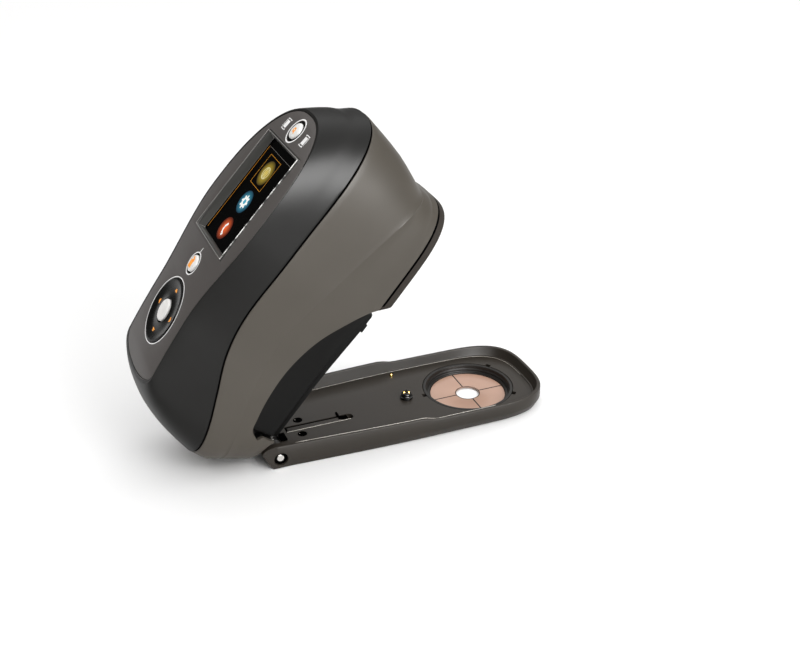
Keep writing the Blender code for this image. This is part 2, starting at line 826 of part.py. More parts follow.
# Hinge bracket: a curved shield about the axis, its two knuckles and the posts under the chassis
shield_gap = 0.0005
shield_thickness = 0.0016
shield_start = 57.0
shield_end = 134.0
shield_steps = 9
shield_half = ear_inner
knuckle_in = 0.0062
knuckle_centre = ear_inner - knuckle_in
pin_play = 0.0001
knuckle_web_half = 0.0028
knuckle_web_length = 0.0072
post_half = 0.0030
post_centre = 0.0120
shield_inner = hinge_sweep - shield_thickness + shield_gap
shield_outer = shield_inner + shield_thickness
shield_room = rod("shield_room_cutter", (0, -body_half_head, hinge_height), (0, body_half_head, hinge_height),
                  shield_outer + seat_gap, None, True, round_segments)
cut(belly_pan, shield_room)


def arc_point(radius, degrees):
    angle = math.radians(degrees)
    return radius * math.cos(angle), hinge_height + radius * math.sin(angle)


shield_profile = [arc_point(shield_inner, blend(shield_start, shield_end, step / shield_steps))
                  for step in range(shield_steps + 1)]
shield_profile += [arc_point(shield_outer, blend(shield_end, shield_start, step / shield_steps))
                   for step in range(shield_steps + 1)]
hinge_bracket = prism("hinge_bracket", shield_profile, shield_half, cast_alloy, True)
heel_inside = loft("heel_inside_cutter",
                   [base_outline(shell_wall + 2 * shield_gap, lambda x: 0),
                    base_outline(shell_wall + 2 * shield_gap, lambda x: rim_line_height)], None, True)
boolean(hinge_bracket, heel_inside, "INTERSECT")
for side in (-1, 1):
    near = side * (knuckle_centre - knuckle_length / 2)
    far = side * (knuckle_centre + knuckle_length / 2)
    knuckle = rod(f"knuckle_{side}", (0, near, hinge_height), (0, far, hinge_height), knuckle_radius, None,
                  True, button_segments)
    low, high = sorted((near, near + side * knuckle_web_length))
    web = box(f"knuckle_web_{side}", (-knuckle_web_half, low, hinge_height),
              (knuckle_web_half, high, hinge_height + shield_inner + shield_thickness / 2), None, True)
    post = box(f"bracket_post_{side}", (-post_half, side * post_centre - post_half,
                                        hinge_height + shield_inner + shield_thickness / 2),
               (post_half, side * post_centre + post_half, chassis_low - seat_gap), None, True)
    join(hinge_bracket, knuckle, web, post)
hinge_bore = rod("hinge_bore_cutter", (0, -body_half_grip, hinge_height), (0, body_half_grip, hinge_height),
                 pin_radius + pin_play, None, True, button_segments)
cut(hinge_bracket, hinge_bore)

# Integrating sphere: two flanged half shells over the nose, with ports for view, gloss and lamp
flange_reach = 0.0032
flange_thickness = 0.0018
neck_wall = 0.0028
view_angle = 8.0
view_radius = 0.0030
view_bore = 0.0018
sphere_arc_steps = 5
sphere_outer = sphere_radius + sphere_wall
flange_radius = sphere_outer + flange_reach
half_gap = seat_gap / 2
neck_radius = port_radius + neck_wall
neck_low = nose_top + seat_gap - sphere_height


def sphere_arc(radius, start, end):
    """Points on a circle of the sphere, from one level to another."""
    first = math.asin(start / radius)
    last = math.asin(end / radius)
    angles = [blend(first, last, step / sphere_arc_steps) for step in range(sphere_arc_steps + 1)]
    return [(radius * math.cos(angle), radius * math.sin(angle)) for angle in angles]


neck_level = -math.sqrt(sphere_outer ** 2 - neck_radius ** 2)
port_level = -math.sqrt(sphere_radius ** 2 - port_radius ** 2)
sphere_low_profile = [(flange_radius, -half_gap), (flange_radius, -flange_thickness)]
sphere_low_profile += sphere_arc(sphere_outer, -flange_thickness, neck_level)
sphere_low_profile += [(neck_radius, neck_low), (port_radius, neck_low)]
sphere_low_profile += sphere_arc(sphere_radius, port_level, -half_gap)
at_sphere = Matrix.Translation((target_x, 0, sphere_height))
sphere_lower = turned("sphere_lower", sphere_low_profile, sphere_white, True, at_sphere, button_segments)
sphere_top_profile = sphere_arc(sphere_outer, sphere_outer, flange_thickness)
sphere_top_profile += [(flange_radius, flange_thickness), (flange_radius, half_gap)]
sphere_top_profile += sphere_arc(sphere_radius, half_gap, sphere_radius)
sphere_top_profile[0] = (0, sphere_outer)
sphere_top_profile[-1] = (0, sphere_radius)
sphere_upper = turned("sphere_upper", sphere_top_profile, sphere_white, True, at_sphere, button_segments)
at_view = at_sphere @ Matrix.Rotation(math.radians(-view_angle), 4, "Y")
at_gloss = at_sphere @ Matrix.Rotation(math.radians(view_angle), 4, "Y")
sight_in = 0.0004
detector_low = sphere_outer + 0.6 * flange_reach
detector_height = 0.0150
detector_rear = 0.0250
detector_front = 0.0034
detector_half = 0.0130
socket_depth = 0.0036
trap_height = 0.0115
trap_radius = 0.0035
view_hole = rod("view_hole_cutter", (0, 0, sphere_radius / 2), (0, 0, 2 * sphere_radius),
                view_radius + seat_gap, None, True, where=at_view)
gloss_hole = rod("gloss_hole_cutter", (0, 0, sphere_radius / 2), (0, 0, 2 * sphere_radius),
                 view_radius + seat_gap, None, True, where=at_gloss)
viewing_tube = turned("viewing_tube", [
    (view_radius, detector_low + socket_depth - seat_gap), (view_radius, sphere_radius + sight_in),
    (view_bore, sphere_radius + sight_in), (view_bore, detector_low + socket_depth - seat_gap)],
    charcoal, True, at_view, small_segments)
detector_module = box("detector_module", (-detector_rear, -detector_half, detector_low),
                      (detector_front + fillet, detector_half, detector_low + detector_height), cast_alloy,
                      True, at_view)
soften(detector_module, 2 * fillet)
detector_socket = rod("detector_socket_cutter", (0, 0, detector_low - overrun),
                      (0, 0, detector_low + socket_depth), view_radius + seat_gap, None, True, where=at_view)
cut(detector_module, detector_socket)
trap_seat = sphere_outer + seat_gap
specular_trap = turned("specular_trap", [
    (0, trap_seat + trap_height), (trap_radius, trap_seat + trap_height), (trap_radius, trap_seat),
    (view_radius, trap_seat), (view_radius, sphere_radius + sight_in), (view_bore, sphere_radius + sight_in),
    (0, trap_seat + trap_height / 2)], charcoal, True, at_gloss, small_segments)

# Lamp: a housing on the chassis with a short tube through the upper half shell
lamp_rise = 0.0090
lamp_tube_radius = 0.0045
lamp_tube_reach = 0.0080
lamp_to_target = 0.0327
lamp_length = 0.0145
lamp_front = target_x - lamp_to_target
lamp_rear = lamp_front - lamp_length
lamp_half = 0.0130
lamp_height = 0.0175
lamp_axis = sphere_height + lamp_rise
lamp_low = chassis_top + seat_gap
lamp_module = box("lamp_module", (lamp_rear, -lamp_half, lamp_low),
                  (lamp_front, lamp_half, lamp_low + lamp_height), cast_alloy, True)
lamp_tube = rod("lamp_tube", (lamp_front - overrun, 0, lamp_axis),
                (lamp_front + lamp_tube_reach, 0, lamp_axis), lamp_tube_radius, None, True)
lamp_bore_radius = lamp_tube_radius - neck_wall / 2
lamp_bore = rod("lamp_bore_cutter", (lamp_front, 0, lamp_axis),
                (lamp_front + 2 * lamp_tube_reach, 0, lamp_axis), lamp_bore_radius, None, True)
lamp_hole = rod("lamp_hole_cutter", (lamp_front, 0, lamp_axis),
                (lamp_front + 2 * lamp_tube_reach, 0, lamp_axis), lamp_tube_radius + seat_gap, None, True)
join(lamp_module, lamp_tube)
cut(lamp_module, lamp_bore)
cut(sphere_upper, view_hole, gloss_hole, lamp_hole)

# Inlets on the far side of the grip
inlet_face = body_half_grip - 2 * seat_gap
inlet_back = inlet_face - usb_depth
inlet_middle = inlet_face - usb_depth / 2


def usb_box(name, grow, back, front, material):
    return box(name, (usb_x - usb_half - grow, back, inlet_height - usb_rise - grow),
               (usb_x + usb_half + grow, front, inlet_height + usb_rise + grow), material, True)


def jack_rod(name, radius, back, front, material):
    return rod(name, (jack_x, back, inlet_height), (jack_x, front, inlet_height), radius, material, True)


usb_port = usb_box("usb_port", 0, inlet_back, inlet_face, steel)
cut(usb_port, usb_box("usb_mouth_cutter", -usb_wall, inlet_middle, inlet_face + overrun, None))
power_jack = jack_rod("power_jack", jack_radius, inlet_back, inlet_face, gloss_black)
cut(power_jack, jack_rod("jack_mouth_cutter", jack_bore, inlet_middle, inlet_face + overrun, None))
usb_hole = usb_box("usb_hole_cutter", seat_gap, inlet_back, inlet_face + overrun, None)
jack_hole = jack_rod("jack_hole_cutter", jack_radius + seat_gap, inlet_back, inlet_face + overrun, None)
cut(lower_housing, usb_hole, jack_hole)

# Screws that hold the head plate to bosses in the housing
screw_head_radius = 0.0026
screw_head_height = 0.0012
screw_radius = 0.0012
screw_reach = 0.0060
boss_radius = 0.0032
boss_height = 0.0120
boss_rib_half = 0.0009
rear_screws_to_target = 0.0222
rear_screws_in = 0.0120
front_screws_to_target = 0.0233
front_screws_in = 0.0185
front_wall_share = 0.90
head_screw_places = ((target_x - rear_screws_to_target, base_half_head - rear_screws_in),
                     (target_x + front_screws_to_target, base_half_head - front_screws_in))


def screw(name, x, y, seat, material):
    """A screw driven upwards, its head under the seat."""
    return turned(name, [(0, screw_reach), (screw_radius, screw_reach), (screw_radius, 0),
                         (screw_head_radius, 0), (screw_head_radius, -screw_head_height),
                         (0, -screw_head_height)],
                  material, True, Matrix.Translation((x, y, seat)), small_segments)


for place, (x, half) in enumerate(head_screw_places):
    for side in (-1, 1):
        label = f"{2 * place + (side + 3) // 2}"
        seat = plate_low - seat_gap
        screw(f"head_screw_{label}", x, side * half, seat, steel)
        hole = rod(f"head_screw_hole_{label}", (x, side * half, plate_low - overrun),
                   (x, side * half, seat + screw_reach + seat_gap), screw_radius + seat_gap, None, True)
        cut(head_plate, hole)
        boss = rod(f"head_boss_{label}", (x, side * half, nose_top), (x, side * half, nose_top + boss_height),
                   boss_radius, None, True)
        wall_y = inside_shell(x, rim_line_height)
        if x > target_x:
            wall_y = wall_y * front_wall_share
        low, high = sorted((side * half, side * (wall_y + shell_wall)))
        rib = box(f"head_boss_rib_{label}", (x - boss_rib_half, low, nose_top),
                  (x + boss_rib_half, high, nose_top + boss_height), None, True)
        join(lower_housing, boss, rib)
        cut(lower_housing, hole)


# Sampling shoe: a tray with a stepped rim, and two ears that hold the hinge pin
shoe_flare_start = -0.020
shoe_flare_end = 0.100
shoe_rear_round = 0.003
shoe_front_round = 0.046
shoe_powers = (4.0, 3.3)
shoe_foot_inset = 0.0020
shoe_foot_height = 0.0050
rim_draft = 0.0003
front_draft = 0.0020
pocket_front = 0.0050
ear_shares = ((0.41, 0), (0.71, 0.27), (1.0, 0.65), (0.93, 0.78), (0.74, 0.89), (0.42, 0.955), (-0.10, 0.99),
              (-0.56, 0.985), (-1.12, 0.965), (-1.12, 0))


def shoe_side(x):
    return blend(shoe_half_rear, shoe_half_head, smooth_step(x, shoe_flare_start, shoe_flare_end))


def rim_height(x):
    return blend(rim_rear_height, rim_front_height, smooth_step(x, rim_step_start, rim_step_end))


def shoe_outline(inset, height, front_in=0):
    return outline(shoe_rear + inset, shoe_front - inset - front_in, 0, 0, shoe_rear_round, shoe_front_round,
                   shoe_powers, height, lambda x: shoe_side(x) - inset)


shoe_tray = loft("shoe_tray", [
    shoe_outline(shoe_foot_inset, lambda x: 0), shoe_outline(0, lambda x: shoe_foot_height),
    shoe_outline(0, rim_height), shoe_outline(shoe_wall, rim_height),
    shoe_outline(shoe_wall + rim_draft, lambda x: shoe_floor, front_draft)], shoe_black, False)
ear_profile = [(-back * ear_rear, up * ear_top) for back, up in ear_shares]
pocket = box("hinge_pocket_cutter", (-ear_rear - overrun, -ear_inner, shoe_web),
             (pocket_front, ear_inner, 2 * ear_top), None, False)
pin_bore = rod("pin_bore_cutter", (0, -body_half_head, hinge_height), (0, body_half_head, hinge_height),
               pin_radius + pin_play, None, False, button_segments)
ears = [prism(f"ear_{side}", ear_profile, ear_thickness / 2, None, False,
              side * (ear_half - ear_thickness / 2)) for side in (-1, 1)]
join(shoe_tray, *ears)
cut(shoe_tray, pocket, pin_bore)
for side in (-1, 1):
    recess = rod(f"pin_recess_cutter_{side}", (0, side * (ear_half - pin_recess_depth), hinge_height),
                 (0, side * (ear_half + overrun), hinge_height), pin_recess_radius, None, False,
                 button_segments)
    cut(shoe_tray, recess)
pin_end = ear_half - pin_recess_depth + seat_gap
hinge_pin = rod("hinge_pin", (0, -pin_end, hinge_height), (0, pin_end, hinge_height), pin_radius, steel,
                False, button_segments)
soften(hinge_pin, fillet / 2, 1)

# Target ring: a bayonet ring that drops in three notches and turns under the floor
ring_seat_width = 0.0021
ring_lip_width = 0.0012
ring_step_height = 0.0019
ring_lip_thickness = 0.0004
ring_low = 0.0001
groove_clearance = 0.0004
notch_angles = (180, 39, -39)
lug_turn = 15.0
lug_reach_radius = ring_radius + lug_reach
groove_radius = lug_reach_radius + groove_clearance
ring_hole = rod("ring_hole_cutter", (target_x, 0, -overrun), (target_x, 0, shoe_floor + overrun),
                ring_radius + seat_gap, None, False, round_segments)
groove = rod("ring_groove_cutter", (target_x, 0, lug_level - groove_clearance),
             (target_x, 0, lug_level + lug_height + groove_clearance), groove_radius, None, False,
             round_segments)
cut(shoe_tray, ring_hole, groove)
for angle in notch_angles:
    notch_place = at_target @ Matrix.Rotation(math.radians(angle), 4, "Z")
    notch_half = lug_width / 2 + groove_clearance
    notch = box(f"ring_notch_cutter_{angle % 360}", (ring_radius / 2, -notch_half, lug_level),
                (groove_radius, notch_half, shoe_floor + overrun), None, False, notch_place)
    cut(shoe_tray, notch)
ring_ledge = window_radius + seat_gap
ring_deck = ring_radius - ring_seat_width
ring_lip = ring_ledge - ring_lip_width
lip_top = ring_low + ring_lip_thickness
target_ring = turned("target_ring", [
    (ring_radius, shoe_floor), (ring_radius, ring_low), (ring_lip, ring_low), (ring_lip, lip_top),
    (ring_ledge, lip_top), (ring_ledge, ring_step_height), (ring_deck, ring_step_height),
    (ring_deck, shoe_floor)], shoe_black, False, at_target)
for angle in notch_angles:
    lug_place = at_target @ Matrix.Rotation(math.radians(angle + lug_turn), 4, "Z")
    lug = box(f"ring_lug_{angle % 360}", (ring_deck + seat_gap, -lug_width / 2, lug_level),
              (lug_reach_radius, lug_width / 2, lug_level + lug_height), None, False, lug_place)
    join(target_ring, lug)
window_low = lip_top + seat_gap / 3
window_top = window_low + window_thickness
target_window = turned("target_window", [
    (window_radius, window_top), (window_radius, window_low), (sample_hole_radius, window_low),
    (sample_hole_radius, window_top)], frosted, False, at_target)

# Contact post, the pin beside it, the screws and the sliding lock bar on the shoe's floor
post_x = 0.0925
post_y = 0.0016
post_base_radius = 0.0040
post_stem_radius = 0.0031
post_base_height = 0.0014
post_height = 0.0036
post_spigot_radius = 0.0022
post_spigot_depth = 0.0028
contact_radius = 0.0006
contact_spacing = 0.0028
contact_rise = 0.0005
contact_depth = 0.0012
pin_x = 0.0937
pin_y = 0.0306
small_pin_radius = 0.0008
small_pin_rise = 0.0026
small_pin_depth = 0.0026
floor_seat = shoe_floor + seat_gap
at_post = Matrix.Translation((post_x, post_y, floor_seat))
contact_post = turned("contact_post", [
    (0, post_height), (post_stem_radius, post_height), (post_stem_radius, post_base_height),
    (post_base_radius, post_base_height), (post_base_radius, 0), (post_spigot_radius, 0),
    (post_spigot_radius, -post_spigot_depth), (0, -post_spigot_depth)], gloss_black, False, at_post,
    button_segments)
spigot_hole = rod("spigot_hole_cutter", (post_x, post_y, shoe_floor - post_spigot_depth - seat_gap),
                  (post_x, post_y, shoe_floor + overrun), post_spigot_radius + seat_gap, None, False)
pin_hole = rod("small_pin_hole_cutter", (pin_x, pin_y, shoe_floor - small_pin_depth - seat_gap),
               (pin_x, pin_y, shoe_floor + overrun), small_pin_radius + seat_gap, None, False)
cut(shoe_tray, spigot_hole, pin_hole)
locating_pin = rod("locating_pin", (pin_x, pin_y, shoe_floor - small_pin_depth),
                   (pin_x, pin_y, shoe_floor + small_pin_rise), small_pin_radius, gold, False)
for side in (-1, 1):
    y = side * contact_spacing / 2
    contact = rod(f"post_contact_{(side + 3) // 2}", (0, y, post_height - contact_depth),
                  (0, y, post_height + contact_rise), contact_radius, gold, False, small_segments,
                  where=at_post)
    contact_hole = rod(f"contact_hole_cutter_{side}", (0, y, post_height - contact_depth - seat_gap),
                       (0, y, post_height + overrun), contact_radius + seat_gap, None, False, small_segments,
                       where=at_post)
    cut(contact_post, contact_hole)

channel_rear = 0.0110
channel_front = 0.0544
channel_near = -0.0082
channel_far = -0.0020
channel_depth = 0.0022
bar_rear = 0.0122
bar_front = 0.0462
bar_near_gap = 0.0016
bar_far_gap = 0.0005
bar_rise = 0.0006
tab_length = 0.0016
tab_rise = 0.0008
tab_reach = 0.0040
channel = box("lock_channel_cutter", (channel_rear, channel_near, shoe_floor - channel_depth),
              (channel_front, channel_far, shoe_floor + overrun), None, False)
cut(shoe_tray, channel)
lock_slide = box("lock_slide", (bar_rear, channel_near + bar_near_gap, shoe_floor - channel_depth + seat_gap),
                 (bar_front, channel_far - bar_far_gap, shoe_floor + bar_rise), charcoal, False)
tab = box("lock_tab", (bar_front - tab_length, channel_near + bar_near_gap, shoe_floor + seat_gap),
          (bar_front, channel_far + tab_reach, shoe_floor + bar_rise + tab_rise), None, False)
join(lock_slide, tab)
floor_screw_recess = 0.0030
far_screw_x = 0.0213
far_screw_in = 0.0047
near_screw_x = 0.0194
near_screw_in = 0.0046
floor_screws = ((far_screw_x, channel_far + far_screw_in), (near_screw_x, channel_near - near_screw_in))
for number, (x, y) in enumerate(floor_screws, 1):
    recess_floor = shoe_floor - screw_head_height - 2 * seat_gap
    counterbore = rod(f"floor_screw_recess_cutter_{number}", (x, y, recess_floor),
                      (x, y, shoe_floor + overrun), floor_screw_recess, None, False, button_segments)
    screw_hole = rod(f"floor_screw_hole_cutter_{number}", (x, y, shoe_web), (x, y, shoe_floor + overrun),
                     screw_radius + seat_gap, None, False)
    cut(shoe_tray, counterbore, screw_hole)
    screw_end = -screw_head_height - overrun
    turned(f"shoe_screw_{number}", [(0, 0), (screw_head_radius, 0), (screw_head_radius, -screw_head_height),
                                    (screw_radius, -screw_head_height), (screw_radius, screw_end),
                                    (0, screw_end)],
           gloss_black, False, Matrix.Translation((x, y, shoe_floor - seat_gap)), small_segments)

# Torsion springs round the hinge pin, one beside each knuckle, and the pads that take their legs
coil_radius = 0.0034
wire_radius = 0.0005
coil_turns = 5
coil_steps = 8
coil_pitch = 0.0019
coil_near = 0.0045
anchor_rear = 0.0052
anchor_front = 0.0090
anchor_near = 0.0090
anchor_far = 0.0166
anchor_rise = 0.0009


def spring_points(side):
    """A coil wound about the pin, from under it round to its top."""
    points = []
    for step in range(coil_turns * coil_steps + coil_steps // 4 + 1):
        angle = -math.pi / 2 + 2 * math.pi * step / coil_steps
        y = side * (coil_near + coil_pitch * step / coil_steps)
        points.append((coil_radius * math.cos(angle), y, hinge_height + coil_radius * math.sin(angle)))
    return points


def least_gap(points):
    """The least room between turns of the wire, measured half a turn or more along it."""
    apart = coil_steps // 2
    return min(math.dist(points[first], points[second]) - 2 * wire_radius
               for first in range(len(points)) for second in range(first + apart, len(points)))


for side in (-1, 1):
    wire = bpy.data.curves.new(f"hinge_spring_wire_{side}", "CURVE")
    wire.dimensions = "3D"
    wire.bevel_depth = wire_radius
    wire.bevel_resolution = 0
    wire.use_fill_caps = True
    spline = wire.splines.new("POLY")
    route = spring_points(side)
    print(f"hinge spring, least gap between turns: {least_gap(route) * 1000:.2f} mm")
    spline.points.add(len(route) - 1)
    for point, place in zip(spline.points, route):
        point.co = (*place, 1)
    spring = bpy.data.objects.new(f"hinge_spring_{(side + 3) // 2}", wire)
    collection.objects.link(spring)
    wire.materials.append(steel)
    low, high = sorted((side * anchor_near, side * anchor_far))
    box(f"spring_anchor_{(side + 3) // 2}", (anchor_rear, low, floor_seat),
        (anchor_front, high, floor_seat + anchor_rise), gloss_black, False)
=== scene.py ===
import math

import bmesh
import bpy
from mathutils import Matrix, Vector


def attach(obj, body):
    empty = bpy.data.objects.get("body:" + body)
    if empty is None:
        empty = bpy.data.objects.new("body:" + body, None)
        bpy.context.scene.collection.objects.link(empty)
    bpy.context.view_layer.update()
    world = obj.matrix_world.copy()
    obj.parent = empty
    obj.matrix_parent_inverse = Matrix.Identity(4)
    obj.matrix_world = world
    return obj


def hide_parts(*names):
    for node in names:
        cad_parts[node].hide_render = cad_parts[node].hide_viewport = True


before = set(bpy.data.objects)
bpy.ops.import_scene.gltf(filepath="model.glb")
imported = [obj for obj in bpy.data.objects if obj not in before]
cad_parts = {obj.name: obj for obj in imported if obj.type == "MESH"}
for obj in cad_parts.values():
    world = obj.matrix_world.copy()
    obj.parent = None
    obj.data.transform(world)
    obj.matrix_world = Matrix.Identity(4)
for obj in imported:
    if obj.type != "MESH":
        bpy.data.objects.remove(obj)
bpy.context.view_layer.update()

# Sampling shoe. One satin black moulding: a shallow tray with a stepped rim and two hinge
# ears. Its floor is bored for the target ring, the contact post, a lock bar and two screws.

hinge_height = 0.0057
shoe_rear = -0.0044
shoe_front = 0.1767
shoe_half_rear = 0.0333
shoe_half_head = 0.0383
shoe_wall = 0.0020
shoe_floor = 0.0061
rim_rear_height = 0.0143
rim_front_height = 0.0122
edge_round = 0.00035
ear_inside = 0.0298
ear_outside = 0.0335
target_x = 0.1342
ring_hole_radius = 0.0290
bayonet_radius = 0.0313
post_place = (0.0925, 0.0016)
pin_place = (0.0937, 0.0306)
screw_places = ((0.0213, 0.0027), (0.0194, -0.0128))
channel_rear = 0.0110
channel_front = 0.0513
channel_near = -0.0082
channel_far = -0.0020
channel_floor = 0.0039
facet_angle = math.radians(32)


def smooth_step(value, start, end):
    share = min(max((value - start) / (end - start), 0), 1)
    return share * share * (3 - 2 * share)


def between(start, end, share):
    return start + (end - start) * share


def level_at(height, x):
    """A height that is one number, or a function of x."""
    return height(x) if callable(height) else height


def plan(rear, front, side, rear_round, front_round, powers, height):
    """A plan outline: rounded ends joined by sides that follow side(x)."""
    corner_steps = 18
    side_steps = 30
    half = []

    def corner(end, reach, power, steps):
        for step in steps:
            angle = math.pi / 2 * step / corner_steps
            x = end + reach * (1 - math.cos(angle) ** (2 / power))
            half.append((x, side(x) * math.sin(angle) ** (2 / power)))

    corner(rear, rear_round, powers[0], range(corner_steps + 1))
    for step in range(1, side_steps):
        x = between(rear + rear_round, front - front_round, step / side_steps)
        half.append((x, side(x)))
    corner(front, -front_round, powers[1], range(corner_steps, -1, -1))
    outline = [(x, -y) for x, y in half] + [(x, y) for x, y in reversed(half[1:-1])]
    return [(x, y, level_at(height, x)) for x, y in outline]


def grown_verts(result):
    """The vertices that a bmesh operator made."""
    return [item for item in result["geom"] if isinstance(item, bmesh.types.BMVert)]


def skin(rings, ring_shaped=False):
    """Bridge a chain of outlines. A chain that isn't ring-shaped gets a flat cap at each end."""
    bm = bmesh.new()
    loops = []
    for ring in rings:
        points = [bm.verts.new(point) for point in ring]
        loops.append([bm.edges.new(pair) for pair in zip(points, points[1:] + points[:1])])
    pairs = list(zip(loops, loops[1:]))
    if ring_shaped:
        pairs.append((loops[-1], loops[0]))
    for low, high in pairs:
        bmesh.ops.bridge_loops(bm, edges=low + high)
    if not ring_shaped:
        for loop in (loops[0], loops[-1]):
            for vert in grown_verts(bmesh.ops.extrude_edge_only(bm, edges=loop[:len(loop) // 2])):
                vert.co.y = -vert.co.y
    bmesh.ops.remove_doubles(bm, verts=bm.verts, dist=0.000002)
    bmesh.ops.recalc_face_normals(bm, faces=bm.faces)
    return bm


def shade(mesh):
    """Smooth shading that keeps a moulding's own edges sharp."""
    mesh.shade_smooth()
    mesh.set_sharp_from_angle(angle=facet_angle)


def add_object(name, data):
    added = bpy.data.objects.new(name, data)
    bpy.context.scene.collection.objects.link(added)
    return added


def as_mesh(name, bm, turn=None):
    """Make a bmesh an object at the origin, turned and placed in its mesh."""
    if turn is not None:
        bmesh.ops.transform(bm, matrix=turn, verts=bm.verts)
    mesh = bpy.data.meshes.new(name)
    bm.to_mesh(mesh)
    bm.free()
    shade(mesh)
    return add_object(name, mesh)


def rod_mesh(start, end, radius, segments):
    bm = bmesh.new()
    start, end = Vector(start), Vector(end)
    along = end - start
    turn = Vector((0, 0, 1)).rotation_difference(along).to_matrix().to_4x4()
    bmesh.ops.create_cone(bm, cap_ends=True, segments=segments, radius1=radius, radius2=radius,
                          depth=along.length, matrix=Matrix.Translation((start + end) / 2) @ turn)
    return bm


def block_mesh(low, high, turn=None):
    bm = bmesh.new()
    size = Vector(high) - Vector(low)
    place = Matrix.Translation((Vector(high) + Vector(low)) / 2) @ Matrix.Diagonal((*size, 1))
    bmesh.ops.create_cube(bm, size=1, matrix=(turn or Matrix()) @ place)
    return bm


def slab_mesh(profile, near, far):
    """A side profile of (x, z) points, drawn out from one y to another."""
    bm = bmesh.new()
    face = bm.faces.new([bm.verts.new((x, near, z)) for x, z in profile])
    drawn_out = grown_verts(bmesh.ops.extrude_face_region(bm, geom=[face]))
    bmesh.ops.translate(bm, vec=(0, far - near, 0), verts=drawn_out)
    bmesh.ops.recalc_face_normals(bm, faces=bm.faces)
    return bm


def settle(piece):
    """Keep a piece's modifiers in its mesh."""
    shaped = bpy.data.meshes.new_from_object(piece.evaluated_get(bpy.context.evaluated_depsgraph_get()))
    piece.modifiers.clear()
    piece.data = shaped
    shade(shaped)


def carve(piece, *tools, operation="DIFFERENCE"):
    """Cut or join bmeshes with a piece, then keep the result as its mesh."""
    helpers = [as_mesh("carving_tool", tool) for tool in tools]
    for helper in helpers:
        step = piece.modifiers.new("carve", "BOOLEAN")
        step.operation = operation
        step.solver = "EXACT"
        step.object = helper
    settle(piece)
    for helper in helpers:
        bpy.data.objects.remove(helper, do_unlink=True)


def bore(place, low, radius, segments, high=0.010):
    """An upright rod, to drill the shoe's floor with."""
    return rod_mesh((*place, low), (*place, high), radius, segments)


def hinge_bore(radius, reach, segments):
    """A rod along the hinge's axis."""
    return rod_mesh((0, -reach, hinge_height), (0, reach, hinge_height), radius, segments)


class Signal:
    """A shader socket, joined to others with Python's own signs."""

    def __init__(self, tree, socket):
        self.tree = tree
        self.socket = socket

    def node(self, kind, settings=None, output=0, values=(), **sockets):
        made = self.tree.nodes.new("ShaderNode" + kind)
        for setting, value in (settings or {}).items():
            setattr(made, setting, value)
        named = [(made.inputs[index], value) for index, value in enumerate(values)]
        named += [(made.inputs[socket.replace("_", " ")], value) for socket, value in sockets.items()]
        for target, value in named:
            if isinstance(value, Signal):
                self.tree.links.new(value.socket, target)
            else:
                target.default_value = value
        return Signal(self.tree, made.outputs[output])

    def math(self, operation, *values):
        return self.node("Math", {"operation": operation}, values=values)

    def __add__(self, other):
        return self.math("ADD", self, other)

    __radd__ = __add__

    def __sub__(self, other):
        return self.math("SUBTRACT", self, other)

    def __rsub__(self, other):
        return self.math("SUBTRACT", other, self)

    def __mul__(self, other):
        return self.math("MULTIPLY", self, other)

    __rmul__ = __mul__

    def tint(self, low, high):
        """A colour between two, by this value."""
        mix = self.node("Mix", {"data_type": "RGBA"}, output=2)
        node = mix.socket.node
        self.tree.links.new(self.socket, node.inputs[0])
        node.inputs[6].default_value = (*low, 1)
        node.inputs[7].default_value = (*high, 1)
        return mix

    def into(self, shader, *names):
        for name in names:
            self.tree.links.new(self.socket, shader.inputs[name])


def start_finish(name, **fixed):
    """A Principled material, its shader and its Object coordinates."""
    material = bpy.data.materials.new(name)
    material.use_nodes = True
    tree = material.node_tree
    shader = tree.nodes["Principled BSDF"]
    for socket, value in fixed.items():
        shader.inputs[socket.replace("_", " ")].default_value = value
    place = Signal(tree, None).node("TexCoord", output="Object")
    return material, shader, place


def moulded_plastic(name, colour, roughness, grain=0.00001, gloss=0.5, **fixed):
    """Moulded plastic: a slight drift of tone, uneven gloss and the fine grain of the mould."""
    tone_shift = 0.06
    material, shader, place = start_finish(name, Specular_IOR_Level=gloss, **fixed)
    drift = place.node("TexNoise", Vector=place, Scale=34.0, Detail=3.0)
    fine = place.node("TexNoise", Vector=place, Scale=2200.0, Detail=2.0)
    low = tuple(channel * (1 - tone_shift) for channel in colour)
    high = tuple(channel * (1 + tone_shift) for channel in colour)
    drift.tint(low, high).into(shader, "Base Color")
    (roughness + (drift - 0.5) * 0.10 + (fine - 0.5) * 0.08).into(shader, "Roughness")
    if grain:
        fine.node("Bump", Strength=0.35, Distance=grain, Height=fine).into(shader, "Normal")
    return material


def finish_piece(piece, material, body, *nodes):
    """Give a finished piece its material and body, in place of its CAD nodes."""
    piece.data.materials.clear()
    piece.data.materials.append(material)
    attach(piece, body)
    if nodes:
        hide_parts(*nodes)


def shoe_side(x):
    return between(shoe_half_rear, shoe_half_head, smooth_step(x, -0.020, 0.100))


def rim_height(x):
    return between(rim_rear_height, rim_front_height, smooth_step(x, 0.087, 0.098))


def shoe_outline(rear, front, side, height):
    return plan(rear, front, side, 0.003, 0.046, (4.0, 3.3), height)


def shoe_ring(inset, height, front_in=0):
    return shoe_outline(shoe_rear + inset, shoe_front - inset - front_in,
                        lambda x: shoe_side(x) - inset, height)


def rim_ring(inset, drop):
    return shoe_ring(inset, lambda x: rim_height(x) - drop)


def wall_ring(share, height):
    """The outer wall draws in towards its foot (share 1), more so at the front."""

    def side(x):
        return shoe_side(x) - share * between(0.0004, 0.0024, smooth_step(x, 0.010, 0.120))

    return shoe_outline(shoe_rear + 0.0006 * share, shoe_front - 0.0024 * share, side, height)


